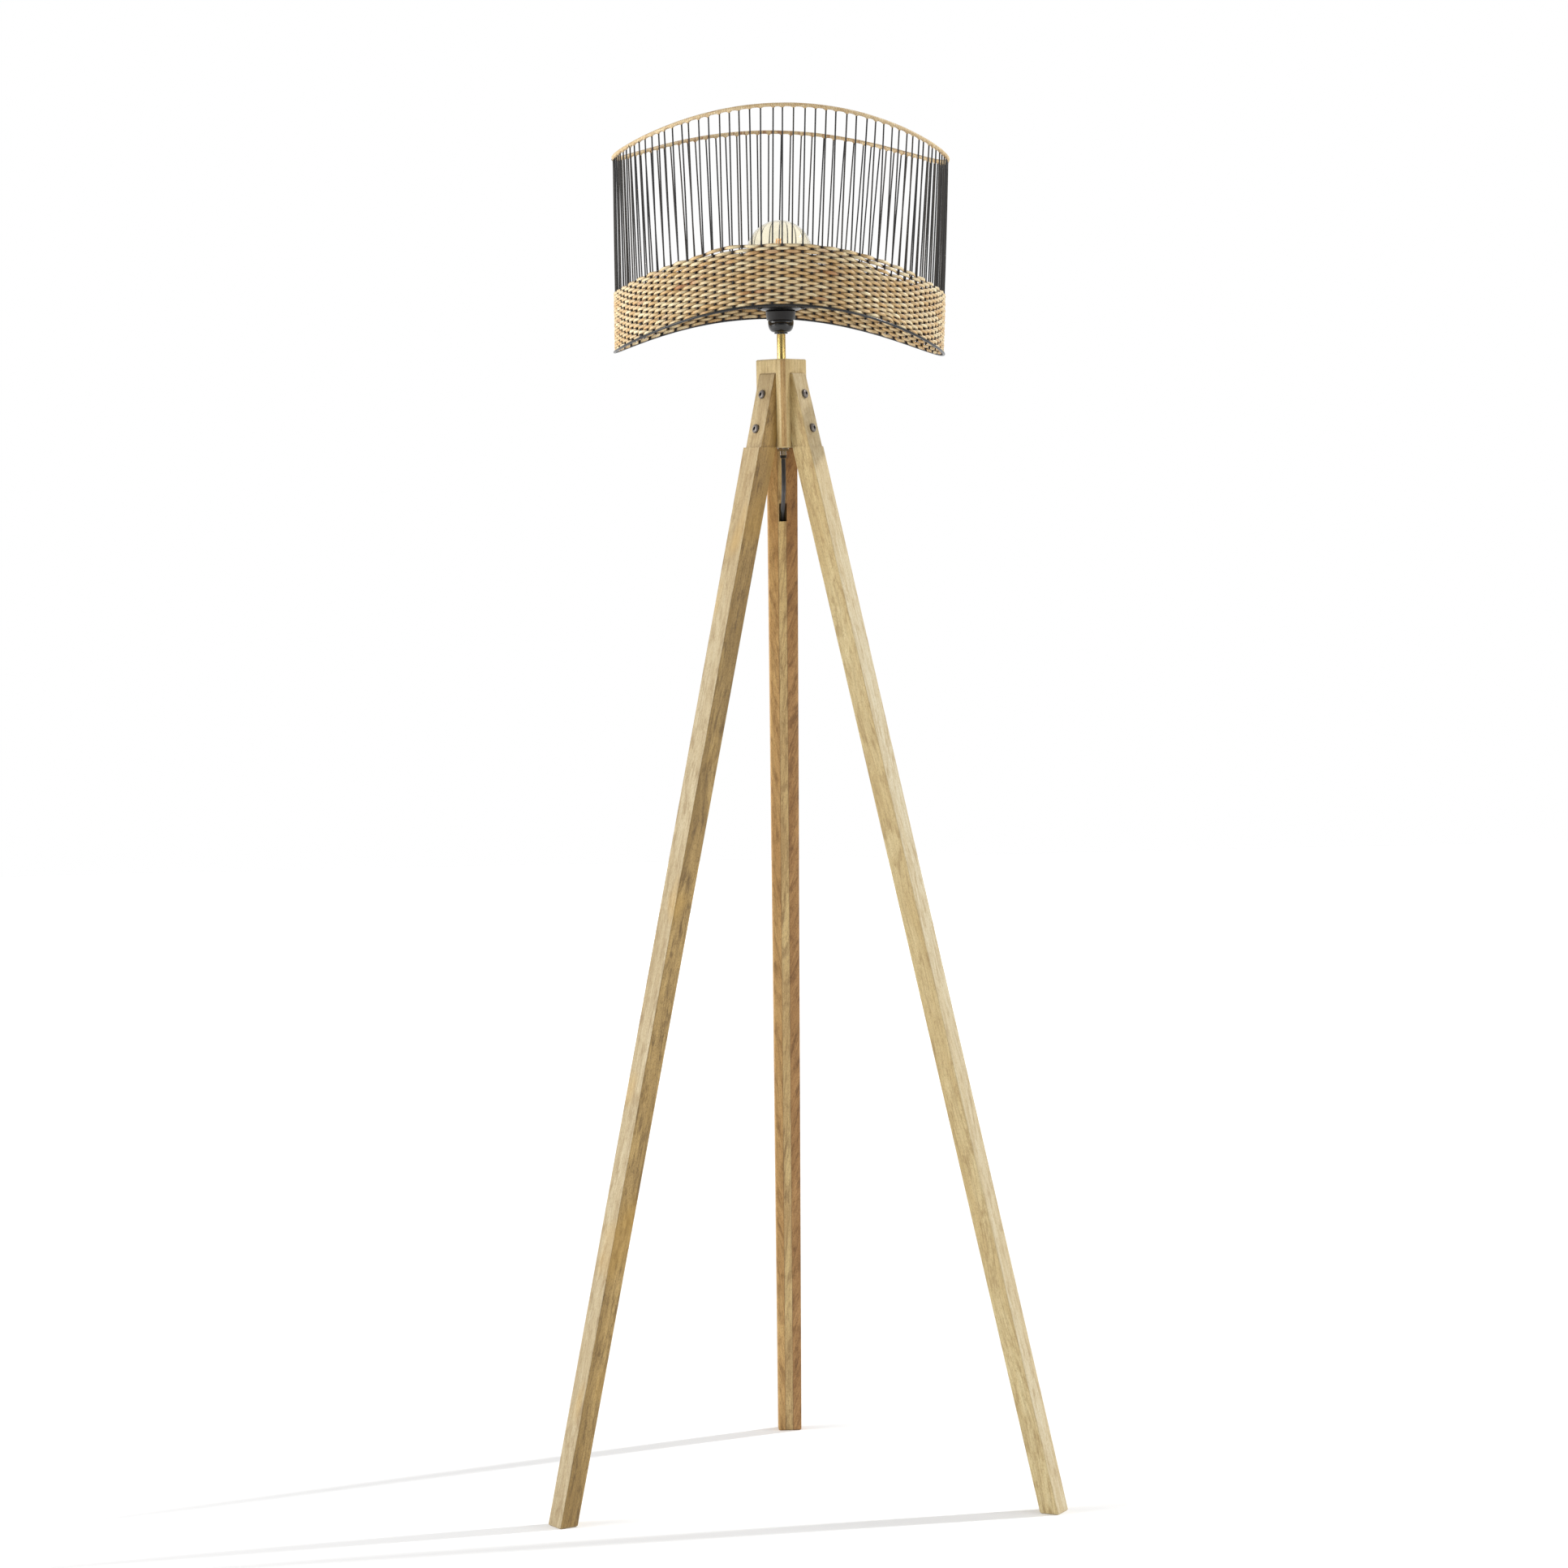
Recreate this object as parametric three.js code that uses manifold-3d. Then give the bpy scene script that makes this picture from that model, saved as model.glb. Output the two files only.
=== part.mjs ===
// A floor lamp: three wooden slats bolted to a triangular head block, a lamp
// holder on a brass stem, and a drum shade whose rims are bent like a saddle.
// Black cord is laced between the rims and rattan is woven round its lower part.
// Millimetres, +Z up. The front of the lamp faces -Y.

import * as THREE from 'three';
import { mergeVertices } from 'three/addons/utils/BufferGeometryUtils.js';
import Module from 'manifold-3d';

const wasm = await Module();
wasm.setup();

// Clearances
const seatGap = 0.3; // between two pieces that touch
const cutOverrun = 5; // how far a cut runs past the face that it opens

// Legs. The outer face leans in from footRadius on the floor to legTopRadius at the top.
const footRadius = 349.2;
const legTopRadius = 24.5;
const legTopHeight = 1358;
const legLean = (footRadius - legTopRadius) / legTopHeight; // per unit of height
const legThickness = 24.2; // measured level
const legFootWidth = 29.6;
const legTopWidth = 36.5; // at the shoulder
const legEdge = 1.4; // rounding along the slat
const footEasing = 1.5;
const shoulderRise = 1; // from the block's lower face up to the tongue's shoulder
const tongueSideRebate = 1;
const tongueFaceRebate = 1;
const leftTongueFaceRebate = 3;
const housingFloorRadius = 14; // the tongue's inner face, from the axis

// Head block, over the tops of the legs
const blockHeight = 106;
const blockRoof = 16.7; // from the housings' top to the block's
const blockTop = legTopHeight + seatGap + blockRoof;
const blockBottom = blockTop - blockHeight;
const shoulderHeight = blockBottom + shoulderRise;
const blockFaceRadius = 20; // from the axis to each of its three faces
const blockCornerRadius = 6.2;
const blockEasing = 1.2;

// Cable channel in the back leg
const slotDrop = 67; // from the block's lower face down to the slot
const slotHeight = 22;
const slotWidth = 9.3;
const channelLength = 92;
const channelCover = 4.5; // wood left in front of the channel
const channelDepth = 9;
const slotTop = blockBottom - slotDrop;
const slotBottom = slotTop - slotHeight;
const channelBottom = slotTop - channelLength;

// Leg bolts, M6, and their threaded inserts
const boltRadius = 3;
const boltHeadRadius = 5.5;
const boltHeadHeight = 3.3;
const boltCrownRadius = 3.4;
const boltSocketRadius = 2.3;
const boltSocketDepth = 2;
const boltHoleRadius = boltRadius + seatGap;
const upperBoltDrop = 25; // below the leg's top
const lowerBoltDrop = 66;
const insertRadius = 4.5;
const insertLength = 5.8;
const insertRecess = 1; // the insert's mouth lies this far below the housing floor
const boltTipClearance = 0.8;

// Threaded pipe through the block, with what is screwed on it
const pipeRadius = 3.8;
const pipeBore = 2.9;
const pipeTail = 8.8; // how far the pipe hangs out of the block
const pipeProud = 0.5; // past its lock nut
const pipeClearance = 0.35;
const washerRadius = 6.9;
const washerThickness = 1;
const nutFlatRadius = 6.4;
const nutHeight = 2.4;
const bushRadius = 3.7;
const bushShoulderRadius = 4.1;
const bushShoulder = 1.2;
const bushLength = 3.5;
const bushBore = 2.8;

// Cord
const cordRadius = 2.5;

// Stem and lamp holder
const stemRadius = 5.25;
const stemHeight = 30;
const capHeight = 16;
const capRadius = 15.2;
const capFootRadius = 9;
const capWall = 2.3;
const bodyRadius = 18.3;
const bodyHeight = 11.3;
const bodyFloor = 3;
const skirtRadius = 16.2;
const skirtHeight = 24;
const holderBore = 14.25;
const shellWall = 0.5;
const shellHeight = 24;
const tongueRadius = 3.2;
const tongueHeight = 2.8;
const wireHoleRadius = 2;
const holderEasing = 0.8;

// Ring that holds the shade down on the holder
const shadeRingRadius = 22.5;
const shadeRingHeight = 6;
const shadeRingFlange = 2;
const shadeRingWall = 2.4;

// Bulb
const globeRadius = 40;
const glassWall = 0.9;
const neckRadius = 12.8;
const neckHeight = 3.7;
const neckJoinAngle = THREE.MathUtils.degToRad(-55);
const bulbCapRadius = 13.1;
const bulbCapHeight = 26;
const bulbCapRim = 0.8;
const bulbTaper = 3;
const bulbContactRadius = 5.5;
const bulbContactHeight = 2.2;
const bulbStemFootRadius = 8;
const bulbStemFootHeight = 12;
const bulbStemRadius = 1.6;
const bulbStemTop = 61; // above the bulb's cap
const hookPlateThickness = 1.2;
const lowerHookHeight = 20; // above the bulb's cap
const filamentRadius = 0.45;
const filamentFootRadius = 9;
const filamentTopRadius = 3.5;
const filamentRuns = 10;

// Shade. Its rims crest at the front and back, and their sides dip by twice the wave.
const shadeHeight = 230.4; // from the bottom rim's crest to the top rim's
const bandHeight = 70.9; // from the bottom rim's crest to the woven band's
const shadeTopWave = 24;
const shadeBottomWave = 25;
const bandWave = 25;
const shadeDroop = 5; // the frame sits a little askew: its right side hangs this much lower
const topWireCircle = 200.5;
const topWireRadius = 1.2;
const wrapRadius = 2.4;
const wrapWireGap = 0.3;
const bottomRimCircle = 198;
const bottomRimRadius = 1.5;
const shadeLean = shadeDroop / topWireCircle; // sideways, per unit of height
const centredHeight = 52; // above the bottom rim's crests, where the leaning shade is centred
const bandWall = 2.6;
const bandEdge = 0.8;

// Lacing
const stringRadius = 1.1;
const stringCount = 108;
const sectorCount = 12;
const stringGap = 0.4;
const stringSwing = THREE.MathUtils.degToRad(4.1); // how far the tops swing round
const frontSwingShare = 0.33; // the front strings swing less and the back ones more

// Shade fitter
const fitterRadius = 28;
const fitterThickness = 2;
const fitterDish = 2.2;
const fitterArmRadius = 1.7;
const fitterArmRise = 4.6; // the arms lie this far above the bottom rim's crests
const fitterArmBend = 14; // radius of the bend at the wall

// Facets
const roundSides = 24;
const smallSides = 12;
const ringStations = 72;
const stringSides = 5;

const up = new THREE.Vector3(0, 0, 1);

const legAzimuths = {
  left: THREE.MathUtils.degToRad(210),
  right: THREE.MathUtils.degToRad(330),
  back: THREE.MathUtils.degToRad(90),
};

function finish(color, roughness, metalness = 0) {
  return new THREE.MeshStandardMaterial({ color, roughness, metalness });
}

const finishes = {
  paleWood: () => finish(0xc9a478, 0.6),
  backWood: () => finish(0xb98a5c, 0.6),
  blockWood: () => finish(0xd8bd94, 0.6),
  darkSteel: () => finish(0x3a3a3c, 0.4, 0.9),
  nickel: () => finish(0xb9b9bb, 0.3, 0.95),
  brass: () => finish(0xc4a15a, 0.3, 0.95),
  bakelite: () => finish(0x17150f, 0.3),
  cordBlack: () => finish(0x161616, 0.8),
  glass: () => finish(0xe8d2a8, 0.05),
  tungsten: () => finish(0x6e4a2a, 0.5, 0.6),
  blackWire: () => finish(0x1b1b1c, 0.45, 0.5),
  stringBlack: () => finish(0x262422, 0.8),
  rattan: () => finish(0xc9a468, 0.65),
  rattanWrap: () => finish(0xd9c49a, 0.65),
};

// Solids

// One closed mesh: shared vertices merged, flat triangles dropped, faces outward.
function closedGeometry(geometry) {
  const bare = new THREE.BufferGeometry();
  bare.setAttribute('position', geometry.getAttribute('position').clone());
  if (geometry.index) bare.setIndex(geometry.index.clone());
  const merged = mergeVertices(bare);
  const position = merged.getAttribute('position');
  const corners = [new THREE.Vector3(), new THREE.Vector3(), new THREE.Vector3()];
  const kept = [];
  let volume = 0;
  for (let i = 0; i < merged.index.count; i += 3) {
    const face = [0, 1, 2].map((k) => merged.index.getX(i + k));
    if (new Set(face).size < face.length) continue;
    face.forEach((vertex, k) => corners[k].fromBufferAttribute(position, vertex));
    volume += corners[0].dot(corners[1].clone().cross(corners[2]));
    kept.push(face);
  }
  const outward = volume > 0 ? kept : kept.map(([a, b, c]) => [a, c, b]);
  merged.setIndex(outward.flat());
  return merged;
}

function solidOf(geometry) {
  const closed = closedGeometry(geometry);
  return new wasm.Manifold(new wasm.Mesh({
    numProp: 3,
    vertProperties: new Float32Array(closed.getAttribute('position').array),
    triVerts: new Uint32Array(closed.index.array),
  }));
}

function geometryOf(solid) {
  const mesh = solid.getMesh();
  const geometry = new THREE.BufferGeometry();
  const position = new THREE.BufferAttribute(new Float32Array(mesh.vertProperties), 3);
  geometry.setAttribute('position', position);
  geometry.setIndex(new THREE.BufferAttribute(new Uint32Array(mesh.triVerts), 1));
  return geometry;
}

// A body with some cuts taken out of it.
function cutFrom(geometry, cutters) {
  return geometryOf(cutters.reduce((body, cut) => body.subtract(solidOf(cut)), solidOf(geometry)));
}

// A turned piece, from a profile of [radius, height] points.
function turned(profile, sides = roundSides) {
  const points = profile.map(([radius, height]) => new THREE.Vector2(radius, height));
  const closesOnAxis = points[0].x === 0 && points[points.length - 1].x === 0;
  if (!closesOnAxis) points.push(points[0].clone());
  return closedGeometry(new THREE.LatheGeometry(points, sides).rotateX(Math.PI / 2));
}

// A round rod along Z from one height to another.
function rod(radius, from, to, sides = smallSides) {
  const geometry = new THREE.CylinderGeometry(radius, radius, to - from, sides);
  return geometry.rotateX(Math.PI / 2).translate(0, 0, (from + to) / 2);
}

// A skin over rings of points. It closes on itself, or ends in two flat faces.
function loft(rings, closesOnItself = false) {
  const size = rings[0].length;
  const points = rings.flat();
  const index = [];
  const spans = closesOnItself ? rings.length : rings.length - 1;
  for (let i = 0; i < spans; i += 1) {
    const here = i * size;
    const next = ((i + 1) % rings.length) * size;
    for (let k = 0; k < size; k += 1) {
      const beside = (k + 1) % size;
      index.push(here + k, here + beside, next + beside, here + k, next + beside, next + k);
    }
  }
  if (!closesOnItself) {
    for (const [start, flip] of [[0, true], [points.length - size, false]]) {
      for (let k = 1; k < size - 1; k += 1) {
        const face = [start, start + k, start + k + 1];
        index.push(...(flip ? face.reverse() : face));
      }
    }
  }
  const geometry = new THREE.BufferGeometry().setFromPoints(points);
  geometry.setIndex(index);
  return closedGeometry(geometry);
}

// A ring round the axis whose [radius, height] section may change with the azimuth.
function hoop(sectionAt) {
  const rings = [];
  for (let i = 0; i < ringStations; i += 1) {
    const azimuth = (i / ringStations) * 2 * Math.PI;
    rings.push(sectionAt(azimuth).map(([radius, height]) => onShade(radius, azimuth, height)));
  }
  return loft(rings, true);
}

// A tube along a route of straight runs, mitred at each corner.
function mitredTube(route, radius, sides) {
  const runs = route.slice(1).map((point, i) => point.clone().sub(route[i]).normalize());
  const across = new THREE.Vector3(1, 0, 0).cross(runs[0]);
  if (across.length() < Number.EPSILON) across.copy(up);
  across.normalize();
  const beside = runs[0].clone().cross(across);
  let ring = [];
  for (let k = 0; k < sides; k += 1) {
    const angle = (k / sides) * 2 * Math.PI;
    const spoke = across.clone().multiplyScalar(Math.cos(angle) * radius);
    ring.push(spoke.addScaledVector(beside, Math.sin(angle) * radius).add(route[0]));
  }
  const rings = [ring];
  for (let i = 1; i < route.length; i += 1) {
    const arriving = runs[i - 1];
    const leaving = runs[Math.min(i, runs.length - 1)];
    const mitre = arriving.clone().add(leaving).normalize();
    ring = ring.map((point) => {
      const reach = route[i].clone().sub(point).dot(mitre) / arriving.dot(mitre);
      return point.clone().addScaledVector(arriving, reach);
    });
    rings.push(ring);
  }
  return loft(rings);
}

function polar(radius, azimuth, height) {
  return new THREE.Vector3(radius * Math.cos(azimuth), radius * Math.sin(azimuth), height);
}

function circle(middleRadius, middleHeight, radius, sides) {
  const section = [];
  for (let k = 0; k < sides; k += 1) {
    const angle = (k / sides) * 2 * Math.PI;
    section.push([middleRadius + radius * Math.cos(angle), middleHeight + radius * Math.sin(angle)]);
  }
  return section;
}

// A rectangle between two corners, with rounded corners, as [x, y] points.
function roundedRectangle(low, high, radius, steps = 2) {
  const corners = [[high[0], high[1], 0], [low[0], high[1], 1], [low[0], low[1], 2], [high[0], low[1], 3]];
  const points = [];
  for (const [x, y, quarter] of corners) {
    const inX = x === high[0] ? -radius : radius;
    const inY = y === high[1] ? -radius : radius;
    for (let k = 0; k <= steps; k += 1) {
      const angle = (quarter + k / steps) * Math.PI / 2;
      points.push([x + inX + radius * Math.cos(angle), y + inY + radius * Math.sin(angle)]);
    }
  }
  return points;
}

const model = new THREE.Group();
const stand = new THREE.Group();
const bulb = new THREE.Group();
const shade = new THREE.Group();
model.add(stand, bulb, shade);

function piece(parent, name, geometry, material) {
  const mesh = new THREE.Mesh(geometry, material);
  mesh.name = name;
  parent.add(mesh);
  return mesh;
}

// Legs, in their own frame: x points out from the axis, y lies along the face.

const legTilt = Math.atan(legLean);
const outerFaceAt = (height) => footRadius - legLean * height;
const innerFaceAt = (height) => outerFaceAt(height) - legThickness;
const legWidthAt = (height) => (
  legFootWidth + (legTopWidth - legFootWidth) * height / shoulderHeight);

// One level slice of a slat, from its faces' radii, half its width and its height.
function legSlice(inner, outer, halfWidth, height, inset = 0) {
  const low = [inner + inset, -halfWidth + inset];
  const high = [outer - inset, halfWidth - inset];
  return roundedRectangle(low, high, legEdge).map(([x, y]) => new THREE.Vector3(x, y, height));
}

function legBlank(faceRebate) {
  const full = (height, inset = 0) => legSlice(
    innerFaceAt(height), outerFaceAt(height), legWidthAt(height) / 2, height, inset);
  const tongue = (height, inset = 0) => legSlice(
    Math.max(innerFaceAt(height), housingFloorRadius + seatGap),
    outerFaceAt(height) - faceRebate,
    legWidthAt(height) / 2 - tongueSideRebate,
    height,
    inset,
  );
  const innerBend = (footRadius - legThickness - housingFloorRadius - seatGap) / legLean;
  return loft([
    full(0, footEasing),
    full(footEasing),
    full(shoulderHeight),
    tongue(shoulderHeight),
    tongue(innerBend),
    tongue(legTopHeight - footEasing),
    tongue(legTopHeight, footEasing / 2),
  ]);
}

// Moves a shape made along Z onto the leg's outer face, square to it.
function ontoLegFace(geometry, height, faceRebate) {
  const seat = new THREE.Vector3(outerFaceAt(height) - faceRebate, 0, height);
  return geometry.rotateY(Math.PI / 2 - legTilt).translate(seat.x, seat.y, seat.z);
}

// How deep a bolt at this height runs from its seat until it is this far from the axis.
function depthTo(radius, height, faceRebate) {
  return (outerFaceAt(height) - faceRebate - radius) / Math.cos(legTilt);
}

const insertMouth = housingFloorRadius - insertRecess;
const insertEnd = insertMouth - insertLength;
const boltHeights = {
  upper: legTopHeight - upperBoltDrop,
  lower: legTopHeight - lowerBoltDrop,
};

function boltHole(radius, height, innerRadius, faceRebate = 0) {
  const depth = depthTo(innerRadius, height, faceRebate);
  return ontoLegFace(rod(radius, -depth, cutOverrun), height, faceRebate);
}

function cableChannel() {
  const mouth = cutOverrun;
  const front = channelCover;
  const behind = channelCover + channelDepth;
  const outline = [
    [innerFaceAt(slotTop) - mouth, slotTop],
    [innerFaceAt(slotTop) + behind, slotTop],
    [innerFaceAt(channelBottom) + behind, channelBottom],
    [innerFaceAt(channelBottom) + front, channelBottom],
    [innerFaceAt(slotBottom) + front, slotBottom],
    [innerFaceAt(slotBottom) - mouth, slotBottom],
  ];
  const shape = new THREE.Shape(outline.map(([x, z]) => new THREE.Vector2(x, z)));
  const cut = new THREE.ExtrudeGeometry(shape, { depth: slotWidth, bevelEnabled: false });
  return cut.rotateX(Math.PI / 2).translate(0, slotWidth / 2, 0);
}

function bolt(length) {
  const crown = [
    [0, -length],
    [boltRadius - seatGap, -length],
    [boltRadius, seatGap - length],
    [boltRadius, seatGap],
    [boltHeadRadius, seatGap],
    [boltHeadRadius, seatGap + boltHeadHeight / 4],
    [(boltHeadRadius + boltCrownRadius) / 2, seatGap + boltHeadHeight * 3 / 4],
    [boltCrownRadius, seatGap + boltHeadHeight],
    [0, seatGap + boltHeadHeight],
  ];
  const socketFloor = seatGap + boltHeadHeight - boltSocketDepth;
  const socket = rod(boltSocketRadius, socketFloor, boltHeadHeight + cutOverrun, 6);
  return cutFrom(turned(crown, smallSides), [socket]);
}

function insert() {
  return turned([
    [boltHoleRadius, 0],
    [insertRadius, 0],
    [insertRadius, insertLength],
    [boltHoleRadius, insertLength],
  ], smallSides);
}

function addLeg(side) {
  const leg = new THREE.Group();
  leg.rotation.z = legAzimuths[side];
  stand.add(leg);
  const faceRebate = side === 'left' ? leftTongueFaceRebate : tongueFaceRebate;
  const cuts = Object.values(boltHeights).map(
    (height) => boltHole(boltHoleRadius, height, 0, faceRebate));
  if (side === 'back') cuts.push(cableChannel());
  const wood = side === 'back' ? finishes.backWood() : finishes.paleWood();
  piece(leg, `${side}_leg`, cutFrom(legBlank(faceRebate), cuts), wood);
  for (const [level, height] of Object.entries(boltHeights)) {
    const tip = depthTo(insertEnd + boltTipClearance, height, faceRebate);
    const boltShape = ontoLegFace(bolt(tip), height, faceRebate);
    piece(leg, `${side}_${level}_bolt`, boltShape, finishes.darkSteel());
    const start = depthTo(insertEnd, height, faceRebate);
    const insertShape = insert().translate(0, 0, -start);
    const seated = ontoLegFace(insertShape, height, faceRebate);
    piece(leg, `${side}_${level}_insert`, seated, finishes.brass());
  }
}

// Head block

function roundedTriangle(faceRadius, cornerRadius, height) {
  const points = [];
  const steps = 4;
  const reach = (faceRadius - cornerRadius) * 2; // to the middle of each rounded corner
  for (let corner = 0; corner < 3; corner += 1) {
    const azimuth = -Math.PI / 2 + corner * 2 * Math.PI / 3;
    const middle = polar(reach, azimuth, height);
    for (let k = 0; k <= steps; k += 1) {
      const turn = azimuth + (k / steps - 1 / 2) * 2 * Math.PI / 3;
      points.push(middle.clone().add(polar(cornerRadius, turn, 0)));
    }
  }
  return points;
}

function addHeadBlock() {
  const inset = blockFaceRadius - blockEasing;
  const blank = loft([
    roundedTriangle(inset, blockCornerRadius - blockEasing, blockBottom),
    roundedTriangle(blockFaceRadius, blockCornerRadius, blockBottom + blockEasing),
    roundedTriangle(blockFaceRadius, blockCornerRadius, blockTop - blockEasing),
    roundedTriangle(inset, blockCornerRadius - blockEasing, blockTop),
  ]);
  const cuts = [rod(pipeRadius + pipeClearance, blockBottom - cutOverrun, blockTop + cutOverrun)];
  const housingWidth = legWidthAt(legTopHeight) - 2 * tongueSideRebate + 2 * seatGap;
  const housingReach = blockFaceRadius * 2;
  const housingTop = blockTop - blockRoof;
  const housingHeight = housingTop - blockBottom + cutOverrun;
  for (const [side, azimuth] of Object.entries(legAzimuths)) {
    const faceRebate = side === 'left' ? leftTongueFaceRebate : tongueFaceRebate;
    const housing = new THREE.BoxGeometry(housingReach, housingWidth, housingHeight);
    housing.translate(housingFloorRadius + housingReach / 2, 0, housingTop - housingHeight / 2);
    cuts.push(housing.rotateZ(azimuth));
    for (const height of Object.values(boltHeights)) {
      const pocket = boltHole(insertRadius + seatGap, height, insertEnd - seatGap, faceRebate);
      cuts.push(pocket.rotateZ(azimuth));
    }
  }
  piece(stand, 'head_block', cutFrom(blank, cuts), finishes.blockWood());
}

// Pipe, stem and what is screwed on them

function hexNut(top) {
  const cornerRadius = nutFlatRadius / Math.cos(Math.PI / 6);
  const blank = rod(cornerRadius, top - nutHeight, top, 6);
  const bore = rod(pipeRadius + seatGap, top - nutHeight - cutOverrun, top + cutOverrun);
  return cutFrom(blank, [bore]);
}

const pipeBottom = blockBottom - pipeTail;
const stemBottom = blockTop + seatGap;
const stemTop = stemBottom + stemHeight;
const capBottom = stemTop + seatGap;
const capTop = capBottom + capHeight;
const lockNutTop = capBottom + capWall + seatGap + nutHeight;
const pipeTop = lockNutTop + pipeProud;
const bodyBottom = capTop + seatGap;
const shoulderTop = bodyBottom + bodyHeight; // the shade's fitter rests here
const bodyTop = shoulderTop + skirtHeight;
const fitterBottom = shoulderTop + seatGap;
const bushBottom = pipeBottom - seatGap - bushLength;

function addPipe() {
  const bore = pipeBore;
  piece(stand, 'threaded_pipe', turned([
    [bore, pipeBottom],
    [pipeRadius, pipeBottom],
    [pipeRadius, pipeTop],
    [bore, pipeTop],
  ], smallSides), finishes.nickel());
  const washerTop = blockBottom - seatGap;
  const washerBottom = washerTop - washerThickness;
  piece(stand, 'pipe_washer', turned([
    [pipeRadius + seatGap, washerBottom],
    [washerRadius, washerBottom],
    [washerRadius, washerTop],
    [pipeRadius + seatGap, washerTop],
  ]), finishes.nickel());
  piece(stand, 'pipe_nut', hexNut(washerBottom - seatGap), finishes.nickel());
  piece(stand, 'holder_lock_nut', hexNut(lockNutTop), finishes.nickel());
  piece(stand, 'cord_bush', turned([
    [bushBore, bushBottom],
    [bushRadius, bushBottom],
    [bushRadius, bushBottom + bushLength - bushShoulder],
    [bushShoulderRadius, bushBottom + bushLength - bushShoulder],
    [bushShoulderRadius, bushBottom + bushLength],
    [bushBore, bushBottom + bushLength],
  ], smallSides), finishes.bakelite());
  piece(stand, 'stem_tube', turned([
    [pipeRadius + pipeClearance, stemBottom],
    [stemRadius, stemBottom],
    [stemRadius, stemTop],
    [pipeRadius + pipeClearance, stemTop],
  ]), finishes.brass());
}

// Lamp holder

function addHolder() {
  const domeSteps = 4;
  const domeHeight = capHeight / 2;
  const dome = (inset) => {
    const points = [];
    for (let k = 0; k <= domeSteps; k += 1) {
      const angle = (k / domeSteps) * Math.PI / 2;
      const radius = capFootRadius + (capRadius - capFootRadius) * Math.sin(angle) - inset;
      const height = capBottom + domeHeight * (1 - Math.cos(angle)) + inset * Math.cos(angle);
      points.push([radius, height]);
    }
    return points;
  };
  piece(stand, 'holder_cap', turned([
    [pipeRadius + seatGap, capBottom],
    ...dome(0),
    [capRadius, capTop],
    [capRadius - capWall, capTop],
    ...dome(capWall).reverse(),
    [pipeRadius + seatGap, capBottom + capWall],
  ]), finishes.bakelite());

  const floorTop = bodyBottom + bodyFloor;
  piece(stand, 'holder_body', turned([
    [wireHoleRadius, bodyBottom],
    [bodyRadius - holderEasing, bodyBottom],
    [bodyRadius, bodyBottom + holderEasing],
    [bodyRadius, shoulderTop],
    [skirtRadius, shoulderTop],
    [skirtRadius, bodyTop - holderEasing],
    [skirtRadius - holderEasing, bodyTop],
    [holderBore, bodyTop],
    [holderBore, floorTop],
    [wireHoleRadius, floorTop],
  ]), finishes.bakelite());

  const shellRadius = holderBore - seatGap;
  const shellBottom = floorTop + seatGap;
  piece(stand, 'holder_shell', turned([
    [tongueRadius + seatGap, shellBottom],
    [shellRadius, shellBottom],
    [shellRadius, shellBottom + shellHeight],
    [shellRadius - shellWall, shellBottom + shellHeight],
    [shellRadius - shellWall, shellBottom + shellWall],
    [tongueRadius + seatGap, shellBottom + shellWall],
  ]), finishes.brass());

  piece(stand, 'contact_tongue', turned([
    [0, shellBottom],
    [tongueRadius, shellBottom],
    [tongueRadius, shellBottom + tongueHeight / 2],
    [tongueRadius / 2, shellBottom + tongueHeight],
    [0, shellBottom + tongueHeight],
  ], smallSides), finishes.brass());
  return shellBottom + tongueHeight;
}

function addShadeRing(bottom) {
  const top = bottom + shadeRingHeight;
  piece(shade, 'shade_ring', turned([
    [skirtRadius + seatGap, bottom],
    [shadeRingRadius, bottom],
    [shadeRingRadius, bottom + shadeRingFlange],
    [skirtRadius + seatGap + shadeRingWall, bottom + shadeRingFlange],
    [skirtRadius + seatGap + shadeRingWall, top],
    [skirtRadius + seatGap, top],
  ]), finishes.bakelite());
}

// Bulb

function globeProfile(inset, middleHeight, neckBottom) {
  const radius = globeRadius - inset;
  const neck = neckRadius - inset;
  const join = new THREE.Vector2(
    radius * Math.cos(neckJoinAngle), middleHeight + radius * Math.sin(neckJoinAngle));
  const run = (join.x - neck) / -Math.sin(neckJoinAngle); // back along the globe's tangent
  const corner = new THREE.Vector2(neck, join.y - run * Math.cos(neckJoinAngle));
  const start = new THREE.Vector2(neck, Math.min(neckBottom + neckHeight, corner.y));
  const throat = new THREE.QuadraticBezierCurve(start, corner, join);
  const throatSteps = 3;
  const globeSteps = 9;
  const profile = [[neck, neckBottom]];
  for (const point of throat.getPoints(throatSteps)) profile.push([point.x, point.y]);
  for (let k = 1; k < globeSteps; k += 1) {
    const angle = neckJoinAngle + (k / globeSteps) * (Math.PI / 2 - neckJoinAngle);
    profile.push([radius * Math.cos(angle), middleHeight + radius * Math.sin(angle)]);
  }
  profile.push([0, middleHeight + radius]);
  return profile;
}

// One unbroken wire that runs up and down a cage that narrows towards its top.
function filamentRoute(bottom, top) {
  const route = [];
  for (let run = 0; run < filamentRuns; run += 1) {
    const azimuth = (run / filamentRuns) * 2 * Math.PI;
    const low = polar(filamentFootRadius, azimuth, bottom);
    const high = polar(filamentTopRadius, azimuth, top);
    route.push(...(run % 2 === 0 ? [low, high] : [high, low]));
  }
  return route;
}

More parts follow.
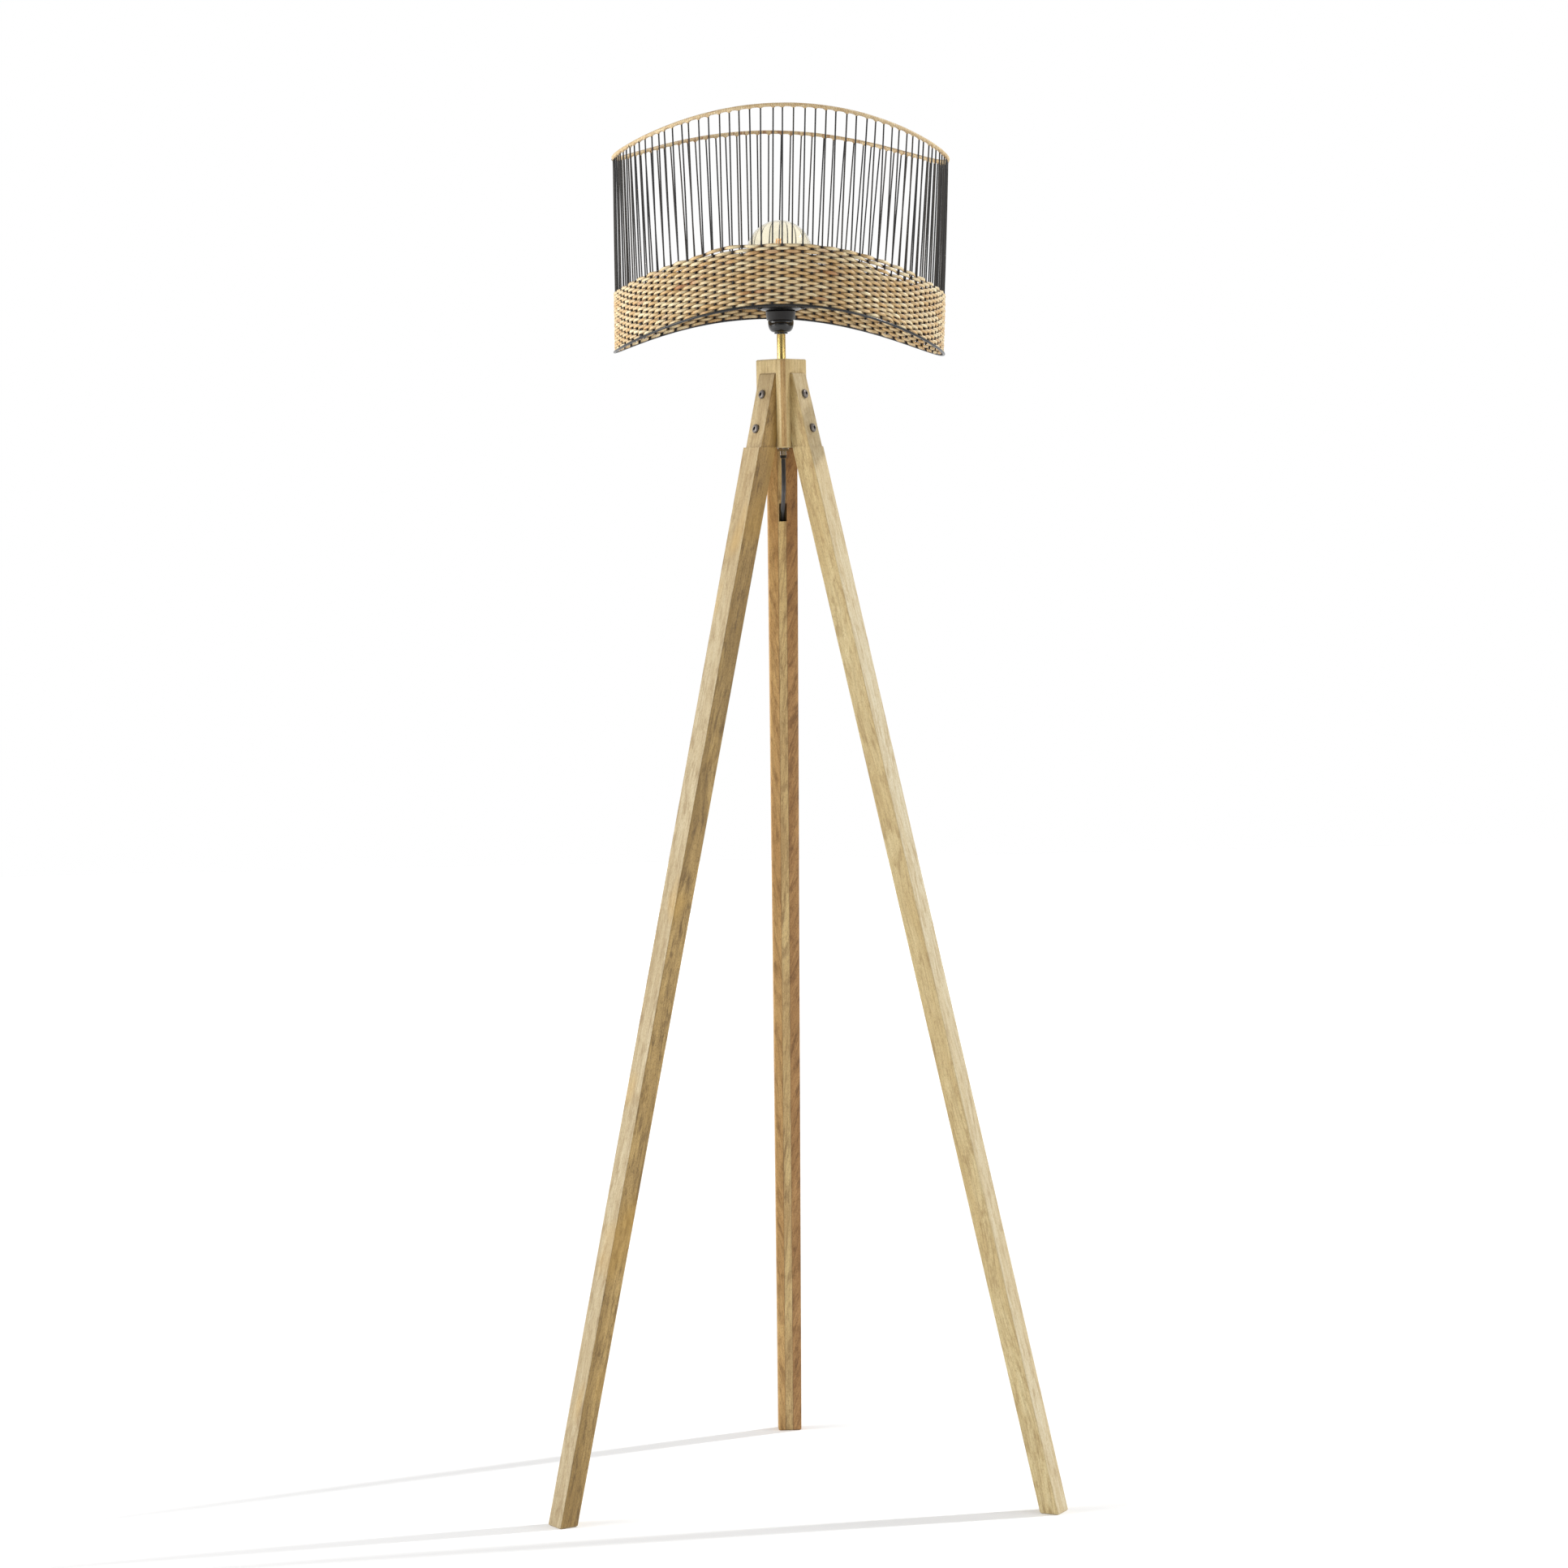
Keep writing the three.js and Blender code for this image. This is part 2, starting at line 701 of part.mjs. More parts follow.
function addBulb(contactSeat) {
  const contactBottom = contactSeat + seatGap;
  const capBase = contactBottom + bulbContactHeight + seatGap;
  const capEnd = capBase + bulbCapHeight;
  piece(bulb, 'bulb_contact', turned([
    [0, contactBottom],
    [bulbContactRadius - bulbContactHeight, contactBottom],
    [bulbContactRadius, contactBottom + bulbContactHeight],
    [0, contactBottom + bulbContactHeight],
  ], smallSides), finishes.nickel());
  piece(bulb, 'bulb_cap', turned([
    [0, capBase],
    [bulbCapRadius - bulbTaper, capBase],
    [bulbCapRadius, capBase + bulbTaper],
    [bulbCapRadius, capEnd],
    [bulbCapRadius - bulbCapRim, capEnd + bulbCapRim],
    [0, capEnd + bulbCapRim],
  ]), finishes.brass());

  const seat = capEnd + bulbCapRim + seatGap;
  const middle = seat + neckHeight + globeRadius;
  const outside = globeProfile(0, middle, seat);
  const inside = globeProfile(glassWall, middle, seat).reverse();
  piece(bulb, 'bulb_globe', turned([...outside, ...inside]), finishes.glass());

  const plateIn = (cageRadius) => (
    cageRadius * Math.cos(Math.PI / filamentRuns) - filamentRadius - seatGap);
  const lowerPlate = seat + lowerHookHeight;
  const upperPlate = seat + bulbStemTop;
  piece(bulb, 'bulb_stem', turned([
    [0, seat],
    [bulbStemFootRadius, seat],
    [bulbStemRadius, seat + bulbStemFootHeight],
    [bulbStemRadius, lowerPlate],
    [plateIn(filamentFootRadius), lowerPlate],
    [plateIn(filamentFootRadius), lowerPlate + hookPlateThickness],
    [bulbStemRadius, lowerPlate + hookPlateThickness],
    [bulbStemRadius, upperPlate - hookPlateThickness],
    [plateIn(filamentTopRadius), upperPlate - hookPlateThickness],
    [plateIn(filamentTopRadius), upperPlate],
    [0, upperPlate],
  ], smallSides), finishes.nickel());
  const wire = mitredTube(filamentRoute(lowerPlate, upperPlate), filamentRadius, 5);
  piece(bulb, 'bulb_filament', wire, finishes.tungsten());
}

// Shade

// The height of a saddle-shaped line at an azimuth. Its crests are at the front and back.
function saddle(crest, wave, azimuth) {
  return crest - wave * (1 + Math.cos(2 * azimuth)) - shadeDroop * Math.cos(azimuth);
}

const armHeight = fitterBottom + fitterDish + fitterThickness / 2;
const bottomCrest = armHeight - fitterArmRise;
const topHeightAt = (azimuth) => saddle(bottomCrest + shadeHeight, shadeTopWave, azimuth);
const bottomHeightAt = (azimuth) => saddle(bottomCrest, shadeBottomWave, azimuth);
const bandHeightAt = (azimuth) => saddle(bottomCrest + bandHeight, bandWave, azimuth);
const leanAt = (height) => shadeLean * (height - bottomCrest - centredHeight);

// A point of the shade, which leans to one side.
function onShade(radius, azimuth, height) {
  const point = polar(radius, azimuth, height);
  point.x += leanAt(height);
  return point;
}

// The strings' circle: inside the bottom rim, and just below the top rim's wire.
const stringFootCircle = bottomRimCircle - bottomRimRadius - stringGap - stringRadius;
const stringTopDrop = topWireRadius + wrapWireGap + stringRadius;

function stringFoot(azimuth) {
  return onShade(stringFootCircle, azimuth, bottomHeightAt(azimuth));
}

function stringTop(azimuth) {
  const fromFront = azimuth + Math.PI / 2;
  const swing = stringSwing * Math.sin(2 * fromFront) * (1 - frontSwingShare * Math.cos(fromFront));
  const turnedAzimuth = azimuth + swing;
  return onShade(topWireCircle, turnedAzimuth, topHeightAt(turnedAzimuth) - stringTopDrop);
}

// The radius of the strings' circle at a height over the bottom rim.
function stringCircleAt(azimuth, height) {
  const foot = bottomHeightAt(azimuth);
  const head = topHeightAt(azimuth) - stringTopDrop;
  return stringFootCircle + (topWireCircle - stringFootCircle) * (height - foot) / (head - foot);
}

// The lacing of one sector: up a string, along the top rim, down the next, and so on.
function sectorRoute(sector) {
  const strings = stringCount / sectorCount;
  const route = [];
  for (let k = 0; k < strings; k += 1) {
    const azimuth = ((sector * strings + k + 1 / 2) / stringCount) * 2 * Math.PI;
    const ends = [stringFoot(azimuth), stringTop(azimuth)];
    route.push(...(k % 2 === 0 ? ends : ends.reverse()));
  }
  return route;
}

// The least gap between the strings of a sector, measured on points along them.
function leastGap(route) {
  const samples = 24;
  let least = Infinity;
  for (let i = 0; i + 3 < route.length; i += 2) {
    for (let a = 0; a <= samples; a += 1) {
      const here = route[i].clone().lerp(route[i + 1], a / samples);
      for (let b = 0; b <= samples; b += 1) {
        const there = route[i + 2].clone().lerp(route[i + 3], b / samples);
        least = Math.min(least, here.distanceTo(there));
      }
    }
  }
  return least - 2 * stringRadius;
}

function addLacing() {
  let least = Infinity;
  for (let sector = 0; sector < sectorCount; sector += 1) {
    const route = sectorRoute(sector);
    least = Math.min(least, leastGap(route));
    const name = `lacing_${String(sector + 1).padStart(2, '0')}`;
    piece(shade, name, mitredTube(route, stringRadius, stringSides), finishes.stringBlack());
  }
  console.log(`least gap between two strings: ${least.toFixed(2)} mm`);
}

// The wrap's section: a tube round the wire with a slot below, where the strings go in.
function wrapSection(azimuth) {
  const height = topHeightAt(azimuth);
  const inner = topWireRadius + wrapWireGap;
  const halfSlot = stringRadius + stringGap;
  const steps = 5;
  const arc = (radius) => {
    const edge = Math.asin(halfSlot / radius);
    const points = [];
    for (let k = 0; k <= steps; k += 1) {
      const angle = -Math.PI / 2 + edge + (k / steps) * 2 * (Math.PI - edge);
      const x = topWireCircle + radius * Math.cos(angle);
      points.push([x, height + radius * Math.sin(angle)]);
    }
    return points;
  };
  return [...arc(wrapRadius), ...arc(inner).reverse()];
}

// The woven band stands round the strings, from the bottom rim to its own saddle line.
function bandInnerAt(azimuth, height) {
  return stringCircleAt(azimuth, height) + stringRadius + stringGap;
}

function bandSection(azimuth) {
  const low = bottomHeightAt(azimuth) + bottomRimRadius + seatGap;
  const high = bandHeightAt(azimuth);
  const lowInner = bandInnerAt(azimuth, low);
  const highInner = bandInnerAt(azimuth, high);
  return [
    [lowInner, low],
    [lowInner + bandWall - bandEdge, low],
    [lowInner + bandWall, low + bandEdge],
    [highInner + bandWall, high - bandEdge],
    [highInner + bandWall - bandEdge, high],
    [highInner, high],
  ];
}

function addShadeFrame() {
  const rimSides = 7;
  const wireSides = 6;
  piece(shade, 'bottom_rim', hoop((azimuth) => (
    circle(bottomRimCircle, bottomHeightAt(azimuth), bottomRimRadius, rimSides)
  )), finishes.blackWire());
  piece(shade, 'top_rim_wire', hoop((azimuth) => (
    circle(topWireCircle, topHeightAt(azimuth), topWireRadius, wireSides)
  )), finishes.blackWire());
  piece(shade, 'top_rim_wrap', hoop(wrapSection), finishes.rattanWrap());
  piece(shade, 'woven_band', hoop(bandSection), finishes.rattan());
}

// The fitter: a dished ring on the holder's shoulder and three arms, level until they
// bend down to the bottom rim, each between two sectors of the lacing. They bend inside
// the band, which narrows towards a smaller top rim. The back arm meets the rim's crest
// and hardly bends.
function fitterArm(azimuth) {
  const height = armHeight;
  const rimHeight = bottomHeightAt(azimuth);
  const rimCircle = bottomRimCircle + leanAt(rimHeight) * Math.cos(azimuth);
  const endRadius = rimCircle - bottomRimRadius - seatGap - fitterArmRadius;
  const bandCircle = bandInnerAt(azimuth, height) + leanAt(height) * Math.cos(azimuth);
  const bendRadius = Math.min(endRadius, bandCircle - seatGap - fitterArmRadius);
  const start = fitterRadius + seatGap;
  const route = [polar(start, azimuth, height)];
  const drop = height - rimHeight;
  const bend = Math.min(fitterArmBend, Math.abs(drop) / 2);
  const steps = 4;
  for (let k = 0; k <= steps; k += 1) {
    const angle = (k / steps) * Math.PI / 2;
    const radius = bendRadius - bend + bend * Math.sin(angle);
    route.push(polar(radius, azimuth, height - Math.sign(drop) * bend * (1 - Math.cos(angle))));
  }
  route.push(polar(endRadius, azimuth, rimHeight));
  return mitredTube(route, fitterArmRadius, 8);
}

function addFitter() {
  const seat = fitterBottom;
  const hole = skirtRadius + seatGap;
  const flat = shadeRingRadius + seatGap;
  const ring = turned([
    [hole, seat],
    [flat, seat],
    [fitterRadius, seat + fitterDish],
    [fitterRadius, seat + fitterDish + fitterThickness],
    [flat, seat + fitterThickness],
    [hole, seat + fitterThickness],
  ]);
  piece(shade, 'shade_fitter', ring, finishes.blackWire());
  for (const [side, azimuth] of Object.entries(legAzimuths)) {
    piece(shade, `${side}_fitter_arm`, fitterArm(azimuth), finishes.blackWire());
  }
  return seat + fitterThickness;
}

// Cord, from the bush into the back leg's slot. Its points were chosen by eye: down out
// of the bush, back in a slack curve, and down the channel inside the leg.
function addCord() {
  const route = [
    [0, 1256.1], [0, 1250], [0, 1244], [0, 1238], [0.6, 1232.4], [2.5, 1227], [5.6, 1222.3],
    [9.6, 1218.3], [18.1, 1211.7], [26.5, 1205.1], [35, 1198.5], [43.4, 1191.9],
    [46.6, 1188.9], [49.2, 1185.4], [51.2, 1181.6], [52.3, 1178], [54.6, 1168.3],
    [57, 1158.6], [59.3, 1148.8], [61.6, 1139.1], [63.9, 1129.4], [66.3, 1119.7],
  ].map(([back, height]) => new THREE.Vector3(0, back, height));
  const section = new THREE.Shape();
  section.absarc(0, 0, cordRadius, 0, 2 * Math.PI);
  const tube = new THREE.ExtrudeGeometry(section, {
    extrudePath: new THREE.CatmullRomCurve3(route),
    steps: route.length,
    curveSegments: 5,
    bevelEnabled: false,
  });
  return piece(model, 'cord', closedGeometry(tube), finishes.cordBlack());
}

Object.keys(legAzimuths).forEach(addLeg);
addHeadBlock();
addPipe();
addBulb(addHolder());
addShadeFrame();
addLacing();
addShadeRing(addFitter() + seatGap);

// The origin lies on the floor, under the middle of the object.
const middle = new THREE.Box3().setFromObject(model, true).getCenter(new THREE.Vector3());
addCord();
model.position.set(-middle.x, -middle.y, 0);

export default model;
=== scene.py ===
"""Looks of the rattan floor lamp: its laced and woven shade, bulb, woods and metals.

Metres, +Z up. The front of the lamp faces -Y, and azimuths run from +X.
"""
import math

import bpy
import numpy as np
from mathutils import Matrix, Vector


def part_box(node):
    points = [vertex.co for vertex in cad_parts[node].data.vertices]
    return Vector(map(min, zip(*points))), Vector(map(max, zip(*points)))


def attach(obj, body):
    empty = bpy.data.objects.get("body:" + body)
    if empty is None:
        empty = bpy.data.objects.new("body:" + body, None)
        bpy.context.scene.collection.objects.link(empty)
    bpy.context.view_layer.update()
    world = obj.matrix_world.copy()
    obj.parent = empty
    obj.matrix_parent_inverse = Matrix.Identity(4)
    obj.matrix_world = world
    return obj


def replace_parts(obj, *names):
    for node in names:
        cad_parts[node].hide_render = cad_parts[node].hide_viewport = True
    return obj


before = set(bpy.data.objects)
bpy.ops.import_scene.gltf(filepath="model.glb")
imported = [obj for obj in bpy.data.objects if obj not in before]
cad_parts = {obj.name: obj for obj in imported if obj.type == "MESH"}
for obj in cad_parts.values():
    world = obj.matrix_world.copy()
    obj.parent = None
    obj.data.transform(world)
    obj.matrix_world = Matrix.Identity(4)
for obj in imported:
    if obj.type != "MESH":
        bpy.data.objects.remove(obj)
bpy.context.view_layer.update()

rng = np.random.default_rng(7)
TAU = 2 * math.pi

# The lamp's upright axis, through the middle of its stem
STEM_LOW, STEM_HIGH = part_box("stem_tube")
AXIS = np.array([(STEM_LOW.x + STEM_HIGH.x) / 2, (STEM_LOW.y + STEM_HIGH.y) / 2, 0.0])

# Camera: its place from the foot of the axis, where it looks, and its lens in millimetres
VIEW_BACK = 5.3394
VIEW_SIDE = -0.2368
VIEW_HEIGHT = 1.2275
VIEW_TURN = math.radians(2.47)
VIEW_PITCH = math.radians(3.902)
VIEW_ROLL = math.radians(-1.06)
LENS = 101.55
SENSOR = 36.0

# Shade: circles, waves and heights of its rims and band, as in the solids
TOP_CIRCLE = 0.2005
TOP_WAVE = 0.024
BOTTOM_CIRCLE = 0.198
BOTTOM_WAVE = 0.025
BAND_WAVE = 0.025
BAND_HEIGHT = 0.0709
DROOP = 0.005
LEAN = DROOP / TOP_CIRCLE
CENTRED_HEIGHT = 0.052
RIM_RADIUS = 0.0015
WRAP_RADIUS = 0.0024
RIM_STATIONS = 720
RIM_SIDES = 12
TOP_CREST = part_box("top_rim_wrap")[1].z - WRAP_RADIUS
BOTTOM_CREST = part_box("bottom_rim")[1].z - RIM_RADIUS
BAND_CREST = BOTTOM_CREST + BAND_HEIGHT

# The top rim's wrap, and the points that the strings draw out of it
WRAP_TURNS = 620
STATIONS_PER_TURN = 4
WRAP_SIDES = 14
WRAP_LEAST = 0.82
WRAP_SWELL = 0.15
WRAP_UNEVEN = 0.03
POINT_DEPTHS = 0.0018, 0.0032
POINT_REACH_AFTER = 0.0024, 0.0040
POINT_REACH_BEFORE = 0.0034, 0.0056
POINT_SHARPNESS = 1.7
POINT_PINCH = 0.35
WRAP_STAINED_OVER = 0.88
WRAP_STAINED_SWING = 0.1
DARKEST_STAIN = 0.7

# String
STRING_COUNT = 108
STRING_RADIUS = 0.00092
STRING_SWING = math.radians(4.1)
FRONT_SWING_SHARE = 0.33
HEAD_SCATTER = math.radians(0.3)
HEAD_INSET = 0.001
FOOT_SHARE = 0.03
SLACK = 0.0004
KNOT_RISE = 0.0030
KNOT_LENGTH = 0.0014
KNOT_SWELL = 0.5
TWISTS_PER_METRE = 420
# Some strings to the left of the front pass outside the top rim, up to an angle over it
CROSSING_FROM, CROSSING_TO = -110, -58
CROSSING_CHANCE = 0.3
CROSSING_START = -80
CROSSING_ENDS = -50, -20
CLASP = WRAP_RADIUS + 0.3 * STRING_RADIUS

# Weave. Places on it are an azimuth and a half width, in degrees.
ROWS = 20
TOP_ROWS = 3
LOW_ROWS = 6
STRAND_DEPTH = 0.0009
STRAND_DEPTH_SCATTER = 0.06
STRAND_SHARE = 0.59
BULGE_SHARE = 0.03
WIDTH_SCATTER = 0.05
NESTING_SHARE = 0.85
NESTING_SCATTER = 0.05
STRAND_SIDES = 7
STATIONS_PER_STRING = 6
ROWS_APART = [(0.0021, -51, 24), (0.0012, 70, 30)]
TOP_ROW_LIFT = 0.0028, -111, 13
LOW_ROWS_LIFT = 0.0034, -54, 9
ROW_SCATTER = 0.00022
SLOW_ROW_SCATTER = 0.00018
# Redder lengths of rattan, after the number of their row
RED_SKINS = [(11, -76, 9), (4, -100, 8), (11, -125, 6), (12, -122, 5), (8, -63, 5)]


# Meshes

def placed(name, data):
    """A new object in the scene."""
    thing = bpy.data.objects.new(name, data)
    bpy.context.scene.collection.objects.link(thing)
    return thing


def world_points(name):
    """The corners of one of the solids."""
    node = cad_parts[name]
    return np.array([node.matrix_world @ vertex.co for vertex in node.data.vertices])


class Surface:
    """Grids of points that become one mesh, with surface coordinates and tones."""

    def __init__(self):
        self.points, self.quads, self.corners, self.tones = [], [], [], []
        self.count = 0

    def grid(self, points, along_closed=False, round_closed=True, tone=(0.5, 0, 0), run=None):
        """Adds a grid of shape (along, round, 3). Its outside is where along x round points.
        The run is U along it, one more than its stations, or else its length in metres."""
        stations, sides = points.shape[:2]
        along = np.arange(stations if along_closed else stations - 1)[:, None]
        across = np.arange(sides if round_closed else sides - 1)[None, :]
        nearer, further = (along, (along + 1) % stations)
        left, right = (across, (across + 1) % sides)
        index = self.count + np.arange(stations * sides).reshape(stations, sides)
        quads = [index[nearer, left], index[further, left],
                 index[further, right], index[nearer, right]]
        self.quads.append(np.stack(quads, -1).reshape(-1, 4))
        if run is None:
            middle = points.mean(axis=1)
            steps = np.linalg.norm(np.roll(middle, -1, axis=0) - middle, axis=1)
            run = np.concatenate([[0.0], np.cumsum(steps)])
        u0, u1 = run[along], run[along + 1]
        v0, v1 = across / sides, (across + 1) / sides
        shape = np.broadcast_shapes(along.shape, across.shape)
        corners = [(u0, v0), (u1, v0), (u1, v1), (u0, v1)]
        self.corners.append(np.stack([
            np.stack([np.broadcast_to(u, shape), np.broadcast_to(v, shape)], -1)
            for u, v in corners], 2).reshape(-1, 2))
        self.points.append(points.reshape(-1, 3))
        tones = np.broadcast_to(np.asarray(tone, float), (stations, sides, 3))
        self.tones.append(tones.reshape(-1, 3))
        self.count += stations * sides

    def become(self, name, material, body):
        mesh = bpy.data.meshes.new(name)
        mesh.from_pydata(np.concatenate(self.points).tolist(), [],
                         np.concatenate(self.quads).tolist())
        layer = mesh.uv_layers.new(name="UVMap")
        layer.data.foreach_set("uv", np.concatenate(self.corners).ravel())
        tones = np.concatenate(self.tones)
        tones = np.concatenate([tones, np.ones((len(tones), 1))], axis=1)
        tone = mesh.color_attributes.new("tone", "FLOAT_COLOR", "POINT")
        tone.data.foreach_set("color", tones.ravel())
        mesh.shade_smooth()
        mesh.materials.append(material)
        piece = placed(name, mesh)
        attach(piece, body)
        return piece


def unit(vectors):
    return vectors / np.linalg.norm(vectors, axis=-1, keepdims=True)


def sweep(path, radius, sides=8):
    """Rings of points round a path. The radius is one number or one for each point."""
    path = np.asarray(path, float)
    tangents = unit(np.gradient(path, axis=0))
    side = np.cross(tangents[0], (0.3, 0.5, 0.81))
    angles = np.arange(sides) / sides * TAU
    radii = np.broadcast_to(radius, len(path))
    rings = []
    for centre, tangent, size in zip(path, tangents, radii):
        side = unit(side - tangent * side.dot(tangent))
        other = np.cross(side, tangent)
        rings.append(centre + size * (np.cos(angles)[:, None] * side
                                      + np.sin(angles)[:, None] * other))
    return np.array(rings)


def capped(rings):
    """Rings closed by a point at each end."""
    ends = [np.broadcast_to(ring.mean(axis=0), ring.shape) for ring in (rings[0], rings[-1])]
    return np.concatenate([ends[:1], rings, ends[1:]])


def at(radius, azimuth, height):
    return AXIS + np.stack(np.broadcast_arrays(
        radius * np.cos(azimuth), radius * np.sin(azimuth), height), -1)


def turned(name, profile, material, body, sides=96):
    """A turned piece: its profile of (radius, height) runs upwards on the outside."""
    radius, height = np.asarray(profile, float).T
    azimuths = np.arange(sides) / sides * TAU
    surface = Surface()
    surface.grid(at(radius, azimuths[:, None], height), along_closed=True)
    return surface.become(name, material, body)


def on_shade(radius, azimuth, height):
    """A point of the shade, which leans to one side."""
    point = at(radius, azimuth, height)
    point[..., 0] += LEAN * (height - BOTTOM_CREST - CENTRED_HEIGHT)
    return point


# Materials

class Nodes:
    """A material's nodes, added with short calls."""

    def __init__(self, name):
        self.material = bpy.data.materials.new(name)
        self.material.use_nodes = True
        self.tree = self.material.node_tree
        self.shader = self.tree.nodes["Principled BSDF"]
        self.output = self.tree.nodes["Material Output"]

    def add(self, kind, settings=None, **inputs):
        node = self.tree.nodes.new("ShaderNode" + kind)
        for key, value in (settings or {}).items():
            setattr(node, key, value)
        for key, value in inputs.items():
            self.set(node, key.replace("_", " "), value)
        return node

    def set(self, node, key, value):
        socket = node.inputs[int(key[2:])] if key.startswith("in") else node.inputs[key]
        if isinstance(value, bpy.types.NodeSocket):
            self.tree.links.new(value, socket)
        else:
            socket.default_value = value

    def shade(self, **inputs):
        for key, value in inputs.items():
            self.set(self.shader, key.replace("_", " "), value)
        return self.material

    def tones(self):
        """The three tones that the mesh holds at its points."""
        held = self.add("Attribute", {"attribute_name": "tone"})
        return self.add("SeparateColor", Color=held.outputs["Color"]).outputs

    def noise(self, vector, scale, detail=2.0, roughness=0.5, distortion=0.0):
        node = self.add("TexNoise", Vector=vector, Scale=scale, Detail=detail,
                        Roughness=roughness, Distortion=distortion)
        return node.outputs["Fac"]

    def stretch(self, vector, scale, location=(0, 0, 0), rotation=(0, 0, 0)):
        node = self.add("Mapping", Vector=vector, Location=location,
                        Rotation=rotation, Scale=scale)
        return node.outputs["Vector"]

    def between(self, value, low, high, out_low=0.0, out_high=1.0):
        node = self.add("MapRange", {"clamp": True}, Value=value, From_Min=low,
                        From_Max=high, To_Min=out_low, To_Max=out_high)
        return node.outputs["Result"]

    def mix(self, share, first, second, blend="MIX"):
        node = self.add("Mix", {"data_type": "RGBA", "blend_type": blend,
                                "clamp_factor": True})
        self.set(node, "in0", share)
        self.set(node, "in6", first)
        self.set(node, "in7", second)
        return node.outputs[2]

    def maths(self, operation, first, second=0.0):
        node = self.add("Math", {"operation": operation})
        self.set(node, "in0", first)
        self.set(node, "in1", second)
        return node.outputs[0]

    def bump(self, height, strength, distance):
        node = self.add("Bump", Height=height, Strength=strength, Distance=distance)
        return node.outputs["Normal"]


def rgb(red, green, blue):
    """A colour written as in a picture, 0 to 255."""
    def linear(value):
        value /= 255
        return value / 12.92 if value <= 0.04045 else ((value + 0.055) / 1.055) ** 2.4
    return (linear(red), linear(green), linear(blue), 1.0)


# Seams between the back leg's strips, and the painted warm shade under the lampshade: the heights
# where it starts and its tint
GLUE_LINE = 0.0003
PAINTED_SHADE_FROM = 1.02, 1.22
PAINTED_SHADE_TINT = (0.97, 0.92, 0.82, 1.0)

# Stretches of the wood's noises, in features a metre across and along the grain
BROAD_FIGURE = 34, 34, 3.2
CLOUDS = 150, 150, 40
GRAIN_LINES = 520, 520, 14
PORES = 1900, 1900, 420
GLOW_PATCHES = 16, 16, 7

# Stretches of the rattan's noises, along and round it, and the colour of the painted shade behind
# a string
FIBRES = 90, 46, 1
SKIN_PATCHES = 40, 3, 1
SKIN_SPOTS = 260, 9, 1
PAINTED_STRING_SHADE = rgb(38, 20, 18)


def worn(name, colour, roughness, metallic=0.0, grain=900.0, spread=0.12, **others):
    """A finish whose roughness and tint vary a little over the surface."""
    nodes = Nodes(name)
    place = nodes.add("TexCoord").outputs["Object"]
    patches = nodes.noise(place, 60.0, 4.0, 0.6)
    fine = nodes.noise(place, grain, 2.0)
    darker = tuple(c * (1 - spread) for c in colour[:3]) + (1.0,)
    tint = nodes.mix(nodes.between(patches, 0.35, 0.65), colour, darker)
    rough = nodes.between(patches, 0.3, 0.7, roughness * 0.85, min(1.0, roughness * 1.2))
    return nodes.shade(Base_Color=tint, Roughness=rough, Metallic=metallic,
                       Normal=nodes.bump(fine, 0.15, 0.0001), **others)


def leg_turn(azimuth, lean):
    """The turn from the row frame to a leg's own: X across it, Y through it, Z up it."""
    across = Vector((-math.sin(azimuth), math.cos(azimuth), 0))
    upward = Vector((-math.cos(azimuth) * math.sin(lean),
                     -math.sin(azimuth) * math.sin(lean), math.cos(lean)))
    through = upward.cross(across)
    return Matrix((across, through, upward)).to_euler()


def board(nodes, local, palette, seed, slant=0.0, ticks=0.6):
    """One board's colour, with its grain along local Z, and the depth of its pores."""
    pale, mid, dark = palette
    place = nodes.stretch(local, (1, 1, 1), (seed, seed * 0.7, seed * 1.3), (0, slant, 0))
    slow = nodes.add("TexNoise", Vector=place, Scale=6.0, Detail=1.0)
    wander = nodes.add("Mix", {"data_type": "VECTOR"})
    nodes.set(wander, "in0", 0.02)
    nodes.set(wander, "in4", place)
    nodes.set(wander, "in5", slow.outputs["Color"])
    bent = wander.outputs[1]
    broad = nodes.noise(nodes.stretch(bent, BROAD_FIGURE), 1.0, 4.0, 0.6, 1.2)
    cloud = nodes.noise(nodes.stretch(bent, CLOUDS), 1.0, 4.0, 0.65)
    lines = nodes.noise(nodes.stretch(bent, GRAIN_LINES), 1.0, 4.0, 0.65)
    pores = nodes.noise(nodes.stretch(bent, PORES), 1.0, 2.0, 0.6)
    tone = nodes.mix(nodes.between(broad, 0.36, 0.64), pale, mid)
    tone = nodes.mix(nodes.between(cloud, 0.40, 0.62, 0.0, 0.6), tone, mid)
    tone = nodes.mix(nodes.between(cloud, 0.52, 0.70, 0.0, 0.65), tone, dark)
    tone = nodes.mix(nodes.between(lines, 0.46, 0.70, 0.0, 0.55), tone, dark)
    depth = nodes.between(pores, 0.5, 0.7, 0.0, ticks)
    return nodes.mix(depth, tone, dark), depth


